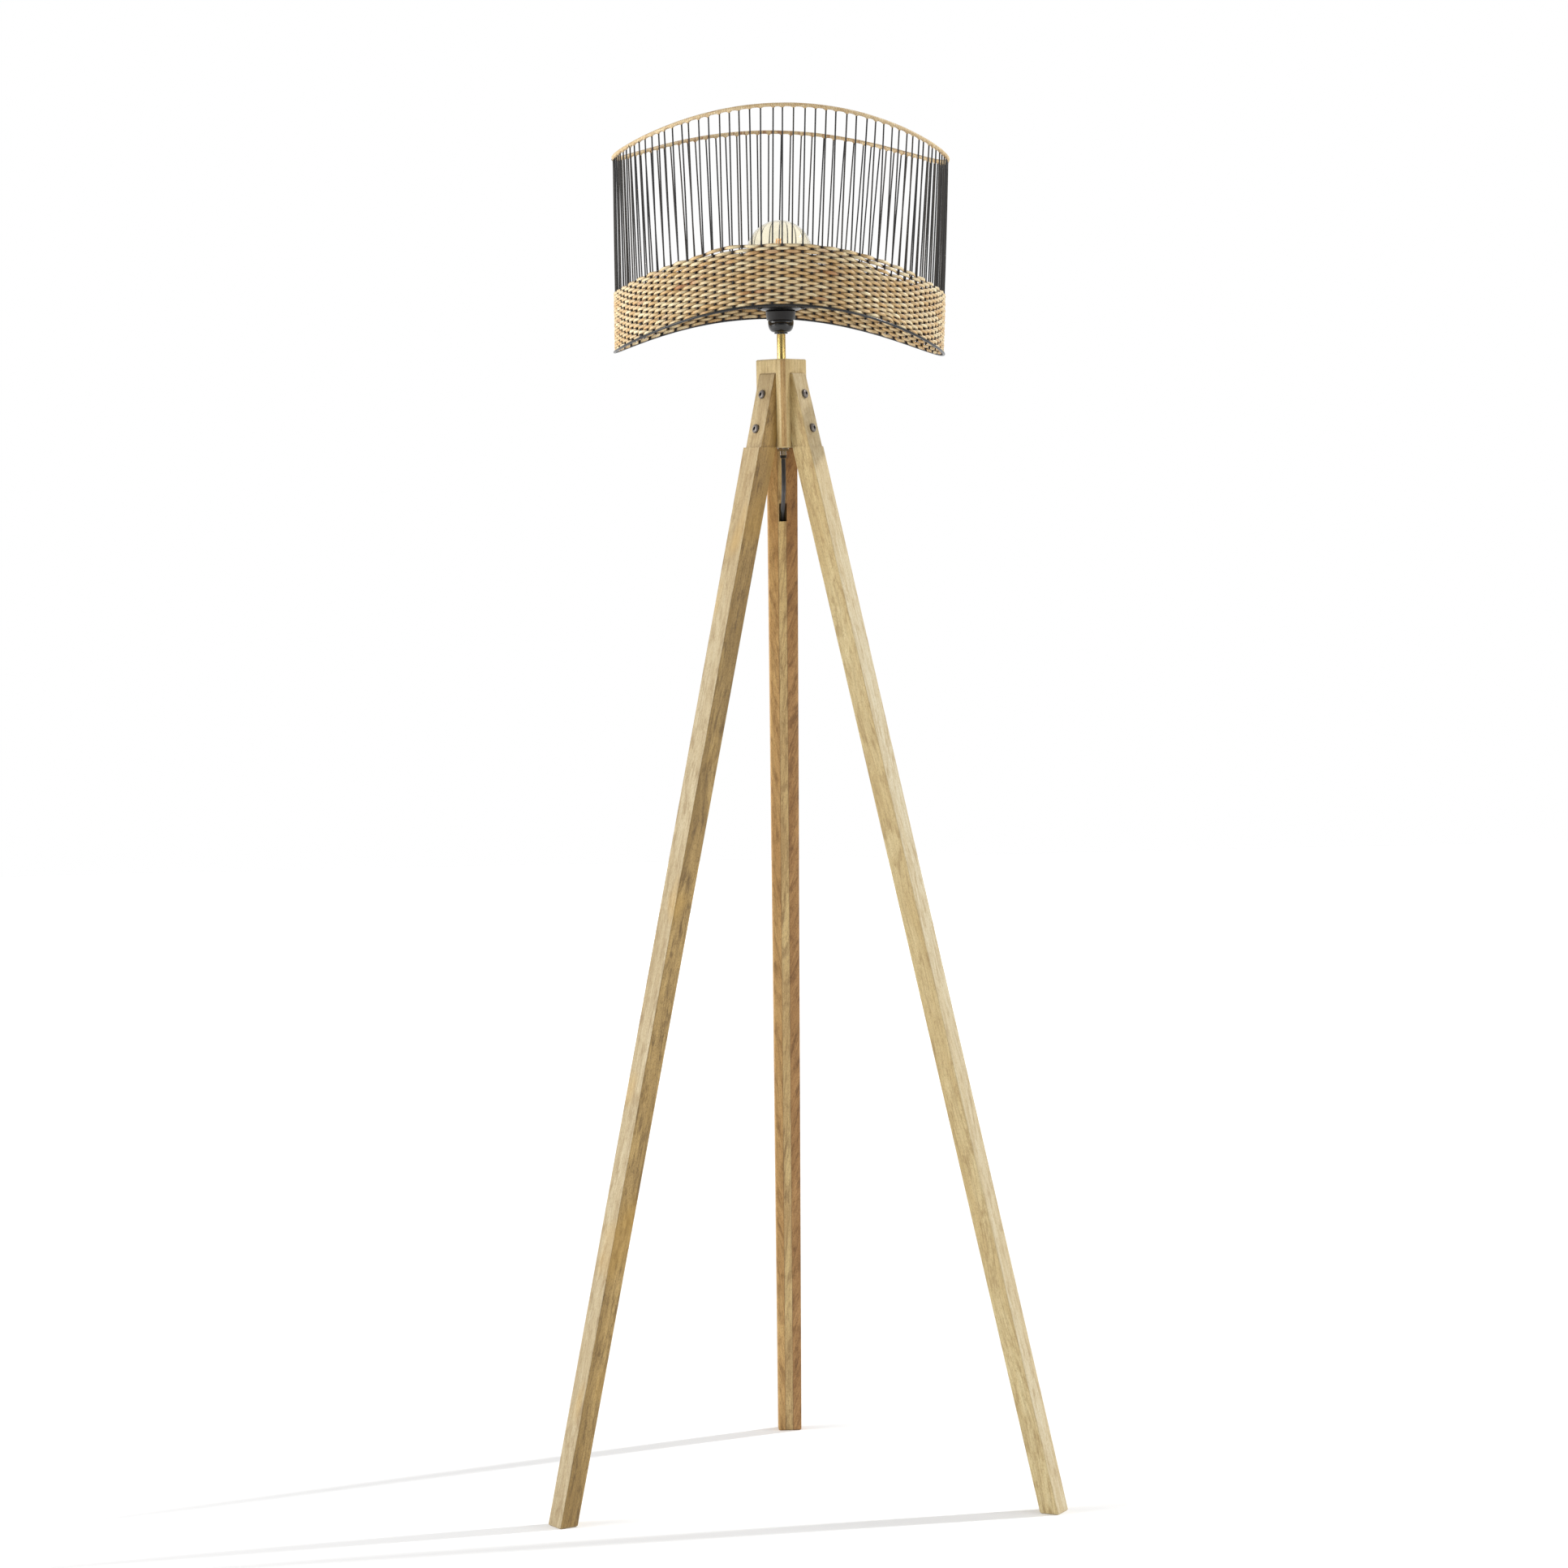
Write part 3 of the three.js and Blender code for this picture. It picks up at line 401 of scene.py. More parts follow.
def wood(name, turn, palette, seed, roughness=0.55, slant=0.0, strips=(), faces=(), glow=None):
    """Oiled wood. Strips are (edge, palette, slant) along local X, after the first, and
    faces are (direction, palette). Glow is a colour in patches and its share."""
    nodes = Nodes(name)
    place = nodes.add("TexCoord").outputs["Object"]
    local = nodes.stretch(place, (1, 1, 1), (0, 0, 0), turn)
    tone, depth = board(nodes, local, palette, seed, slant)
    split = nodes.add("SeparateXYZ", Vector=local)
    for number, (edge, other, other_slant) in enumerate(strips):
        beyond = nodes.between(split.outputs["X"], edge - GLUE_LINE, edge + GLUE_LINE)
        strip, _ = board(nodes, local, other, seed + 3.3 * (number + 1), other_slant)
        tone = nodes.mix(beyond, tone, strip)
        off_line = nodes.maths("ABSOLUTE", nodes.maths("SUBTRACT", split.outputs["X"], edge))
        seam = nodes.between(off_line, GLUE_LINE, 2 * GLUE_LINE, 0.45, 0.0)
        tone = nodes.mix(seam, tone, palette[2])
    for number, (direction, other) in enumerate(faces):
        normal = nodes.add("NewGeometry").outputs["True Normal"]
        facing = nodes.add("VectorMath", {"operation": "DOT_PRODUCT"})
        nodes.set(facing, "in0", normal)
        nodes.set(facing, "in1", direction)
        face, _ = board(nodes, local, other, seed + 7.7 * (number + 1), slant, 0.7)
        tone = nodes.mix(nodes.between(facing.outputs["Value"], 0.75, 0.95), tone, face)
    # Painted shade: the woods turn darker and warmer towards the head, under the lampshade
    height = nodes.add("SeparateXYZ", Vector=place).outputs["Z"]
    tone = nodes.mix(nodes.between(height, *PAINTED_SHADE_FROM), tone, PAINTED_SHADE_TINT, "MULTIPLY")
    if glow:
        patches = nodes.noise(nodes.stretch(local, GLOW_PATCHES, (seed, 0, seed)), 1.0, 2.0)
        tone = nodes.mix(nodes.between(patches, 0.54, 0.68, 0.0, glow[1]), tone, glow[0])
    return nodes.shade(Base_Color=tone, Roughness=nodes.between(
        depth, 0.0, 0.5, roughness - 0.05, roughness + 0.15),
        Specular_IOR_Level=0.35, Normal=nodes.bump(depth, 0.25, 0.0002))


def rattan(name, cream, tan, brown, stain, roughness=0.5, painted_edge_shade=0.4, spacing=None):
    """Peeled rattan along U. The mesh's tones are random tone, stain and painted shade in
    recesses. A spacing is how far apart the strings stand that it passes, in front and behind
    by turns: a painted shade darkens it where a string hides it, as seen from the side that the
    surface faces."""
    nodes = Nodes(name)
    run = nodes.add("UVMap", {"uv_map": "UVMap"}).outputs["UV"]
    tones = nodes.tones()
    split = nodes.add("SeparateXYZ", Vector=run)
    turn = nodes.maths("MULTIPLY", split.outputs["Y"], TAU)
    edge = nodes.maths("ABSOLUTE", nodes.maths("SINE", turn))
    fibre = nodes.noise(nodes.stretch(run, FIBRES), 1.0, 3.0, 0.65)
    patches = nodes.noise(nodes.stretch(run, SKIN_PATCHES), 1.0, 3.0, 0.6)
    spots = nodes.noise(nodes.stretch(run, SKIN_SPOTS), 1.0, 1.0, 0.5)
    colour = nodes.mix(nodes.between(tones["Red"], 0.1, 0.9), cream, tan)
    colour = nodes.mix(nodes.between(patches, 0.4, 0.65, 0.0, 0.75), colour, tan)
    colour = nodes.mix(nodes.between(patches, 0.58, 0.8, 0.0, 0.6), colour, brown)
    colour = nodes.mix(nodes.between(fibre, 0.42, 0.66, 0.0, 0.72), colour, brown)
    colour = nodes.mix(nodes.between(spots, 0.66, 0.74, 0.0, 0.5), colour, brown)
    colour = nodes.mix(tones["Green"], colour, stain)
    # Painted shade: the top and bottom edges of the rattan's section turn brown, as where rows
    # meet
    colour = nodes.mix(nodes.between(edge, 0.6, 1.0, 0.0, painted_edge_shade), colour, brown)
    # Painted shade: the mesh's recess tone turns the rattan brown in its hollows
    colour = nodes.mix(nodes.between(tones["Blue"], 0.3, 1.0, 0.0, 0.8), colour, brown)
    if spacing:
        # Painted shade: brown where the strand dives behind a string, near black right behind it,
        # and only on the side that the surface faces
        place = nodes.maths("MULTIPLY", split.outputs["X"], math.pi / spacing)
        outer = nodes.between(nodes.maths("COSINE", turn), -0.2, 0.2, -1.0, 1.0)
        front = nodes.maths("MULTIPLY", nodes.maths("COSINE", place), outer)
        colour = nodes.mix(nodes.between(front, -0.3, -0.85, 0.0, 0.6), colour, brown)
        colour = nodes.mix(nodes.between(front, -0.82, -0.94, 0.0, 0.95), colour, PAINTED_STRING_SHADE)
    return nodes.shade(Base_Color=colour, Roughness=roughness, Specular_IOR_Level=0.45,
                       Normal=nodes.bump(fibre, 0.3, 0.0003))


def twisted(name, colour, lighter, roughness=0.6):
    """Thread of two strands, with its slanting ridges in relief."""
    nodes = Nodes(name)
    run = nodes.add("UVMap", {"uv_map": "UVMap"}).outputs["UV"]
    split = nodes.add("SeparateXYZ", Vector=run)
    phase = nodes.maths("ADD", nodes.maths("MULTIPLY", split.outputs["X"], TWISTS_PER_METRE),
                        nodes.maths("MULTIPLY", split.outputs["Y"], 2.0))
    ridge = nodes.maths("ABSOLUTE", nodes.maths("SINE", nodes.maths(
        "MULTIPLY", phase, math.pi)))
    tint = nodes.mix(nodes.tones()["Red"], colour, lighter)
    return nodes.shade(Base_Color=tint, Roughness=roughness, Specular_IOR_Level=0.4,
                       Normal=nodes.bump(ridge, 0.5, 0.0002))


def clear_glass(name, tint):
    """Glass that lets the lamps' light through."""
    nodes = Nodes(name)
    nodes.shade(Base_Color=tint, Roughness=0.0, IOR=1.45, Transmission_Weight=1.0)
    path = nodes.add("LightPath")
    clear = nodes.add("BsdfTransparent", Color=tint)
    swap = nodes.add("MixShader")
    nodes.set(swap, "in0", path.outputs["Is Shadow Ray"])
    nodes.set(swap, "in1", nodes.shader.outputs["BSDF"])
    nodes.set(swap, "in2", clear.outputs["BSDF"])
    nodes.set(nodes.output, "Surface", swap.outputs["Shader"])
    return nodes.material


# Camera

def add_camera():
    data = bpy.data.cameras.new("photo_view")
    data.lens, data.sensor_width, data.sensor_fit = LENS, SENSOR, "HORIZONTAL"
    camera = placed("photo_view", data)
    forward = Vector((0, math.cos(VIEW_PITCH), -math.sin(VIEW_PITCH)))
    right = Vector((1, 0, 0))
    upward = right.cross(forward)
    level_right = math.cos(VIEW_ROLL) * right + math.sin(VIEW_ROLL) * upward
    level_up = -math.sin(VIEW_ROLL) * right + math.cos(VIEW_ROLL) * upward
    turn = Matrix.Rotation(-VIEW_TURN, 3, "Z")
    axes = turn @ Matrix((level_right, level_up, -forward)).transposed()
    place = Vector(AXIS) + Vector((VIEW_SIDE, -VIEW_BACK, VIEW_HEIGHT))
    camera.matrix_world = Matrix.Translation(place) @ axes.to_4x4()
    bpy.context.scene.camera = camera


add_camera()

# Cord, from its bush into the slot of the back leg

CORD_RADIUS = 0.0025
# Places of (back from the axis, height)
CORD_ROUTE = [
    (0, 1.2561), (0, 1.250), (0, 1.244), (0, 1.238), (0.0006, 1.2324), (0.0025, 1.227),
    (0.0056, 1.2223), (0.0096, 1.2183), (0.0181, 1.2117), (0.0265, 1.2051), (0.035, 1.1985),
    (0.0434, 1.1919), (0.0466, 1.1889), (0.0492, 1.1854), (0.0512, 1.1816), (0.0523, 1.178),
    (0.0546, 1.1683), (0.057, 1.1586), (0.0593, 1.1488), (0.0616, 1.1391), (0.0639, 1.1294),
    (0.0663, 1.1197),
]


def add_cord():
    curve = bpy.data.curves.new("lamp_cord", "CURVE")
    curve.dimensions = "3D"
    curve.bevel_depth, curve.bevel_resolution, curve.use_fill_caps = CORD_RADIUS, 5, True
    spline = curve.splines.new("BEZIER")
    spline.bezier_points.add(len(CORD_ROUTE) - 1)
    points = [AXIS + (0, back, height) for back, height in CORD_ROUTE]
    for point, place in zip(spline.bezier_points, points):
        point.co = place
        point.handle_left_type = point.handle_right_type = "AUTO"
    curve.materials.append(worn("cord_rubber", rgb(58, 58, 60), 0.55, spread=0.2))
    cord = placed("lamp_cord", curve)
    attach(cord, "stand")
    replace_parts(cord, "cord")


add_cord()

# Woods and plain finishes of the CAD's own nodes

BACK_STRIPS = (-0.0042, 0.0058)
LEG_LEAN = math.radians(13.4)
LEG_AZIMUTHS = {"left": math.radians(210), "right": math.radians(330), "back": math.radians(90)}
LEFT_LEG_SIDE, RIGHT_LEG_SIDE, BLOCK_RIB = 300, 240, 270


def dress(material, *names):
    for name in names:
        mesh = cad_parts[name].data
        mesh.materials.clear()
        mesh.materials.append(material)


def level(azimuth_degrees):
    """The level direction at an azimuth."""
    azimuth = math.radians(azimuth_degrees)
    return math.cos(azimuth), math.sin(azimuth), 0.0


def dress_woods():
    """Each palette is pale, middle and dark. The numbers after them set the grain apart."""
    turn = {side: leg_turn(azimuth, LEG_LEAN) for side, azimuth in LEG_AZIMUTHS.items()}
    olive = rgb(189, 159, 102), rgb(153, 125, 74), rgb(85, 63, 36)
    dress(wood("left_leg_wood", turn["left"],
               (rgb(189, 175, 143), rgb(170, 151, 114), rgb(124, 100, 63)), 1.7,
               faces=[(level(LEFT_LEG_SIDE), olive)], glow=(rgb(190, 150, 70), 0.45)), "left_leg")
    honey = rgb(215, 200, 155), rgb(194, 171, 121), rgb(143, 116, 73)
    dress(wood("right_leg_wood", turn["right"],
               (rgb(200, 191, 164), rgb(188, 172, 136), rgb(146, 122, 83)), 4.1,
               faces=[(level(RIGHT_LEG_SIDE), honey)]), "right_leg")
    tawny = rgb(205, 169, 110), rgb(177, 136, 82), rgb(106, 75, 39)
    grey = rgb(212, 188, 133), rgb(182, 152, 102), rgb(114, 87, 53)
    russet = rgb(181, 140, 89), rgb(151, 111, 65), rgb(88, 59, 33)
    dress(wood("back_leg_wood", turn["back"], russet, 2.9, slant=0.3,
               strips=[(BACK_STRIPS[0], grey, 0.1), (BACK_STRIPS[1], tawny, -0.16)]),
          "back_leg")
    amber = rgb(197, 167, 121), rgb(177, 147, 98), rgb(136, 103, 60)
    dress(wood("block_wood", (0, 0, 0),
               (rgb(213, 197, 156), rgb(193, 174, 128), rgb(148, 123, 79)), 0.6,
               faces=[(level(BLOCK_RIB), amber)]), "head_block")


dress_woods()
gunmetal = worn("gunmetal", rgb(104, 100, 98), 0.36, 0.9)
nickel = worn("nickel", rgb(206, 203, 196), 0.22, 1.0, spread=0.06)
brass = worn("brass", rgb(216, 192, 122), 0.27, 1.0, spread=0.06)
bakelite = worn("bakelite", rgb(34, 32, 30), 0.28, spread=0.2)
black_wire = worn("black_wire", rgb(10, 10, 11), 0.26, spread=0.2, Specular_IOR_Level=0.4)
bush_plastic = worn("bush_plastic", rgb(28, 28, 28), 0.5)

for side in LEG_AZIMUTHS:
    dress(gunmetal, f"{side}_upper_bolt", f"{side}_lower_bolt")
    dress(brass, f"{side}_upper_insert", f"{side}_lower_insert")
dress(nickel, "threaded_pipe", "pipe_washer", "pipe_nut", "holder_lock_nut", "bulb_contact",
      "bulb_stem")
dress(brass, "stem_tube", "holder_shell", "contact_tongue", "bulb_cap")
dress(bakelite, "holder_cap", "holder_body", "shade_ring")
dress(bush_plastic, "cord_bush")
dress(black_wire, "shade_fitter", "bottom_rim", "top_rim_wire",
      *[f"{side}_fitter_arm" for side in LEG_AZIMUTHS])

# Shade


def saddle(crest, wave, azimuth):
    """The height of a saddle-shaped line. Its crests are at the front and the back."""
    return crest - wave * (1 + np.cos(2 * azimuth)) - DROOP * np.cos(azimuth)


def top_height(azimuth):
    return saddle(TOP_CREST, TOP_WAVE, azimuth)


def bottom_height(azimuth):
    return saddle(BOTTOM_CREST, BOTTOM_WAVE, azimuth)


def band_height(azimuth):
    return saddle(BAND_CREST, BAND_WAVE, azimuth)


def swing(azimuth):
    """How far round a string's top stands from its foot."""
    from_front = azimuth + math.pi / 2
    return STRING_SWING * np.sin(2 * from_front) * (1 - FRONT_SWING_SHARE * np.cos(from_front))


STRING_FEET = (np.arange(STRING_COUNT) + 0.5) / STRING_COUNT * TAU
STRING_HEADS = STRING_FEET + swing(STRING_FEET) + rng.normal(0, HEAD_SCATTER, STRING_COUNT)
FOOT_CIRCLE = BOTTOM_CIRCLE - RIM_RADIUS - STRING_RADIUS


def string_circle(azimuth, height):
    """The radius of the strings' circle at a height."""
    foot, head = bottom_height(azimuth), top_height(azimuth)
    return FOOT_CIRCLE + (TOP_CIRCLE - FOOT_CIRCLE) * (height - foot) / (head - foot)


def ring_of(centre_circle, heights, azimuths, across, upward):
    """A tube round the shade. across and upward are (along, round) offsets."""
    radius = centre_circle[:, None] + across
    height = heights[:, None] + upward
    return on_shade(radius, azimuths[:, None], height)


def add_bottom_rim():
    angles = np.arange(RIM_SIDES) / RIM_SIDES * TAU
    azimuths = np.arange(RIM_STATIONS) / RIM_STATIONS * TAU
    rim = Surface()
    rim.grid(ring_of(np.full(RIM_STATIONS, BOTTOM_CIRCLE), bottom_height(azimuths), azimuths,
                     RIM_RADIUS * np.cos(angles), RIM_RADIUS * np.sin(angles)),
             along_closed=True)
    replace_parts(rim.become("bottom_rim_wire", black_wire, "shade"), "bottom_rim")


def add_wrap():
    """Rattan skin wound round the top rim. It is drawn down to a point at each string."""
    stations = WRAP_TURNS * STATIONS_PER_TURN
    azimuths = np.arange(stations) / stations * TAU
    angles = np.arange(WRAP_SIDES) / WRAP_SIDES * TAU
    phase = (np.arange(stations)[:, None] / STATIONS_PER_TURN - angles / TAU) % 1.0
    uneven = 1 + WRAP_UNEVEN * np.sin(azimuths * 31 + 2) * np.sin(azimuths * 13)
    swell = uneven[:, None] * (WRAP_LEAST + WRAP_SWELL * np.sin(math.pi * phase))
    to_head = (azimuths[:, None] - STRING_HEADS + math.pi) % TAU - math.pi
    closest = np.abs(to_head).argmin(axis=1)
    aside = to_head[np.arange(stations), closest] * TOP_CIRCLE
    depth = rng.uniform(*POINT_DEPTHS, STRING_COUNT)[closest]
    reach = np.where(aside > 0, rng.uniform(*POINT_REACH_AFTER, STRING_COUNT)[closest],
                     rng.uniform(*POINT_REACH_BEFORE, STRING_COUNT)[closest])
    point = np.clip(1 - np.abs(aside) / reach, 0, 1)[:, None] ** POINT_SHARPNESS
    downward = np.clip(-np.sin(angles), 0, 1) ** 2
    across = WRAP_RADIUS * swell * np.cos(angles) * (1 - POINT_PINCH * downward * point)
    upward = WRAP_RADIUS * swell * np.sin(angles) - depth[:, None] * point * downward
    turn_tone = rng.random(WRAP_TURNS).repeat(STATIONS_PER_TURN)[:, None]
    slow = (0.5 + 0.5 * np.sin(azimuths * 9 + 1) * np.sin(azimuths * 4))[:, None]
    around = np.arange(WRAP_TURNS) / WRAP_TURNS * TAU
    clean = WRAP_STAINED_OVER - WRAP_STAINED_SWING * np.sin(around)
    stain = np.clip((rng.random(WRAP_TURNS) - clean) * 5, 0, DARKEST_STAIN)
    stain = stain.repeat(STATIONS_PER_TURN)[:, None]
    # Painted shade in the hollows between the wrap's turns
    painted_recess_shade = np.clip(1 - np.sin(math.pi * phase) * 1.15, 0, 1)
    tones = np.stack(np.broadcast_arrays(turn_tone * 0.6 + slow * 0.4, stain, painted_recess_shade), -1)
    wrap = Surface()
    wrap.grid(ring_of(np.full(stations, TOP_CIRCLE), top_height(azimuths), azimuths,
                      across, upward), along_closed=True, tone=tones)
    skin = rattan("rattan_skin", rgb(238, 222, 180), rgb(214, 188, 140), rgb(122, 82, 46),
                  rgb(132, 80, 44), 0.5, painted_edge_shade=0.35)
    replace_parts(wrap.become("rim_wrap", skin, "shade"), "top_rim_wrap")


def string_path(foot_azimuth, head_azimuth):
    """From the bottom rim, up inside it, and to the top rim's wrap."""
    hold = RIM_RADIUS + STRING_RADIUS
    turn = np.radians(np.arange(0, 91, 15))
    foot = on_shade(BOTTOM_CIRCLE - hold * np.sin(turn), np.full(len(turn), foot_azimuth),
                    bottom_height(foot_azimuth) + hold * (1 - np.cos(turn)))
    head = top_height(head_azimuth)
    from_front = (math.degrees(head_azimuth) + 90 + 180) % 360 - 180
    may_cross = CROSSING_FROM < from_front < CROSSING_TO
    if rng.random() < (CROSSING_CHANCE if may_cross else 0.0):
        over = np.radians(np.arange(CROSSING_START, rng.uniform(*CROSSING_ENDS), 10))
        end = on_shade(TOP_CIRCLE + CLASP * np.cos(over), np.full(len(over), head_azimuth),
                       head + CLASP * np.sin(over))
    else:
        end = on_shade(TOP_CIRCLE, np.array([head_azimuth]), np.array([head - HEAD_INSET]))
    knot = np.linspace(0, FOOT_SHARE, 7)[1:-1]
    share = np.concatenate([knot, np.linspace(FOOT_SHARE, 1, 14)[:-1]])[:, None]
    slack = rng.normal(0, SLACK, 3)
    run = foot[-1] + (end[0] - foot[-1]) * share + slack * np.sin(share * math.pi)
    return np.concatenate([foot, run, end])


def add_strings():
    strings = Surface()
    for foot, head in zip(STRING_FEET, STRING_HEADS):
        path = string_path(foot, head)
        climb = path[:, 2] - bottom_height(foot) - KNOT_RISE
        knot = 1 + KNOT_SWELL * np.exp(-(climb / KNOT_LENGTH) ** 2)
        tone = (float(rng.random()) ** 2, 0, 0)
        strings.grid(capped(sweep(path, STRING_RADIUS * knot)), tone=tone)
    thread = twisted("laced_thread", rgb(13, 13, 14), rgb(44, 38, 30))
    piece = strings.become("laced_strings", thread, "shade")
    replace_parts(piece, *[f"lacing_{k:02d}" for k in range(1, 13)])


def bump_at(azimuth, centre_degrees, half_width_degrees):
    """A smooth hump from 0 to 1 and back, round an azimuth."""
    away = (azimuth - math.radians(centre_degrees) + math.pi) % TAU - math.pi
    share = np.clip(np.abs(away) / math.radians(half_width_degrees), 0, 1)
    return np.cos(share * math.pi / 2) ** 2


def row_heights(row, azimuth):
    """The middle of a row of the weave, with the places where the rows stand apart."""
    low, high = bottom_height(azimuth) + RIM_RADIUS * 0.6, band_height(azimuth)
    share = (row + 0.5) / ROWS
    from_top = ROWS - 1 - row
    taper = 1.0 if from_top < TOP_ROWS else row / (ROWS - TOP_ROWS)
    spread = sum(gap * bump_at(azimuth, *place) for gap, *place in ROWS_APART)
    height = low + (high - low) * share - spread * min(from_top, TOP_ROWS - 0.4) * taper
    if from_top == 0:
        rise, *place = TOP_ROW_LIFT
        height = height + rise * bump_at(azimuth, *place)
    rise, *place = LOW_ROWS_LIFT
    height = height + rise * bump_at(azimuth, *place) * max(0.0, 1 - row / LOW_ROWS)
    return height, (high - low) / ROWS


def add_weave():
    """Rows of flat strands, in front of the strings and behind them by turns."""
    stations = STRING_COUNT * STATIONS_PER_STRING
    feet = np.arange(stations) / stations * TAU
    place = feet * STRING_COUNT / TAU - 0.5
    spacing = TAU * BOTTOM_CIRCLE / STRING_COUNT
    angles = np.arange(STRAND_SIDES) / STRAND_SIDES * TAU
    weave = Surface()

    def wander(spread, every=1):
        """Random numbers at the strings, joined by straight lines."""
        knots = rng.normal(0, spread, STRING_COUNT // every + 1)
        knots[-1] = knots[0]
        return np.interp(place % STRING_COUNT, np.arange(len(knots)) * every, knots)

    for row in range(ROWS):
        height, _ = row_heights(row, feet)
        share = (height - bottom_height(feet)) / (top_height(feet) - bottom_height(feet))
        azimuths = feet + swing(feet) * share
        height, pitch = row_heights(row, azimuths)
        front = np.cos(math.pi * (place + row))
        side = 1.4 * front - 0.4 * front ** 3  # flatter than a wave where it meets a string
        reach = (STRING_RADIUS + NESTING_SHARE * STRAND_DEPTH) * (1 + wander(NESTING_SCATTER))
        centre = string_circle(azimuths, height) + reach * side
        half = pitch * (STRAND_SHARE + BULGE_SHARE * side) * (1 + wander(WIDTH_SCATTER))
        depth = STRAND_DEPTH * (1 + wander(STRAND_DEPTH_SCATTER))
        height = height + wander(ROW_SCATTER) + wander(SLOW_ROW_SCATTER, 4)
        tone = np.clip(0.5 + wander(0.34) + rng.normal(0, 0.16) + wander(0.16, 8), 0, 1)
        stain = np.clip(wander(0.34, 3) + rng.normal(-0.40, 0.12), 0, DARKEST_STAIN)
        for red_row, *where in RED_SKINS:
            if row == red_row:
                stain = np.maximum(stain, bump_at(feet, *where) * (0.6 + wander(0.15)))
        tones = np.stack(np.broadcast_arrays(tone, stain, 0.0), -1)[:, None]
        weave.grid(ring_of(centre, height, azimuths, depth[:, None] * np.cos(angles),
                           half[:, None] * np.sin(angles)), along_closed=True, tone=tones,
                   run=(np.append(place, place[-1] + 1 / STATIONS_PER_STRING) + row) * spacing)
    strand = rattan("rattan_strand", rgb(252, 240, 198), rgb(216, 180, 122), rgb(108, 70, 34),
                    rgb(148, 76, 34), 0.42, painted_edge_shade=0.85, spacing=spacing)
    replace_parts(weave.become("woven_strands", strand, "shade"), "woven_band")


add_bottom_rim()
add_wrap()
add_strings()
add_weave()

# Lamp holder, turned more finely than the solids

CAP_FOOT = 0.0077
CAP_RADIUS = 0.0154
CAP_BORE = 0.0045
CAP_WALL = 0.0022
CAP_EDGE = 0.0006
CAP_BEAD = 0.0004
CAP_BEAD_LOW, CAP_BEAD_HIGH = 0.0005, 0.0011
DOME_LOW, DOME_HIGH = 0.0017, 0.0122
BODY_FOOT = 0.0170
BODY_RADIUS = 0.0182
BODY_BORE = 0.01425
BODY_FLOOR = 0.003
BODY_EDGE = 0.0008
WIRE_HOLE = 0.002
SKIRT_RADIUS = 0.0162
THREAD_PITCH = 0.0021
THREAD_DEPTH = 0.0006
SEAT_GAP = 0.0003
FITTER_RADIUS = 0.028
FITTER_HOLE = 0.0166
FITTER_FLAT = 0.0226
FITTER_THICKNESS = 0.002
WELD_LENGTH = 0.0034
WELD_WIDTH = 0.0026
WELD_HEIGHT = 0.0019
WELD_SIDES = 16


def add_holder():
    low, high = (corner.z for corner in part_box("holder_cap"))
    turn = np.linspace(0.06, 1, 14) * math.pi / 2
    dome_start, dome_end = low + DOME_LOW, low + DOME_HIGH
    dome = np.stack([CAP_FOOT + (CAP_RADIUS - CAP_FOOT) * np.sin(turn) ** 0.9,
                     dome_start + (dome_end - dome_start) * (1 - np.cos(turn))], -1)
    outside = [(CAP_BORE, low), (CAP_FOOT, low), (CAP_FOOT + CAP_BEAD, low + CAP_BEAD_LOW),
               (CAP_FOOT + CAP_BEAD, low + CAP_BEAD_HIGH), (CAP_FOOT, low + 0.0016), *dome,
               (CAP_RADIUS, high - CAP_EDGE), (CAP_RADIUS - 0.0005, high),
               (CAP_RADIUS - CAP_WALL, high), (CAP_RADIUS - CAP_WALL, dome_end),
               (CAP_BORE, low + CAP_WALL + 0.002)]
    gloss = worn("cap_gloss", rgb(18, 18, 18), 0.14, spread=0.1, grain=400.0)
    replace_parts(turned("holder_dome", outside, gloss, "stand"), "holder_cap")

    low, high = (corner.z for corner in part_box("holder_body"))
    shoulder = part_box("shade_fitter")[0].z - SEAT_GAP
    root = SKIRT_RADIUS - THREAD_DEPTH
    threads = []
    for k in range(int((high - shoulder - 0.002) / THREAD_PITCH)):
        foot = shoulder + 0.001 + k * THREAD_PITCH
        threads += [(root, foot), (SKIRT_RADIUS, foot + 0.3 * THREAD_PITCH),
                    (SKIRT_RADIUS, foot + 0.7 * THREAD_PITCH), (root, foot + THREAD_PITCH)]
    floor = low + BODY_FLOOR
    profile = [(WIRE_HOLE, low), (BODY_FOOT - BODY_EDGE, low), (BODY_FOOT, low + BODY_EDGE),
               (BODY_RADIUS - 0.0003, shoulder - 0.0012), (BODY_RADIUS, shoulder - BODY_EDGE),
               (BODY_RADIUS - 0.0006, shoulder), (root, shoulder), *threads, (root, high),
               (BODY_BORE, high), (BODY_BORE, floor), (WIRE_HOLE, floor)]
    matte = worn("holder_matte", rgb(19, 15, 13), 0.36, spread=0.15, Specular_IOR_Level=0.3)
    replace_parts(turned("holder_barrel", profile, matte, "stand"), "holder_body")


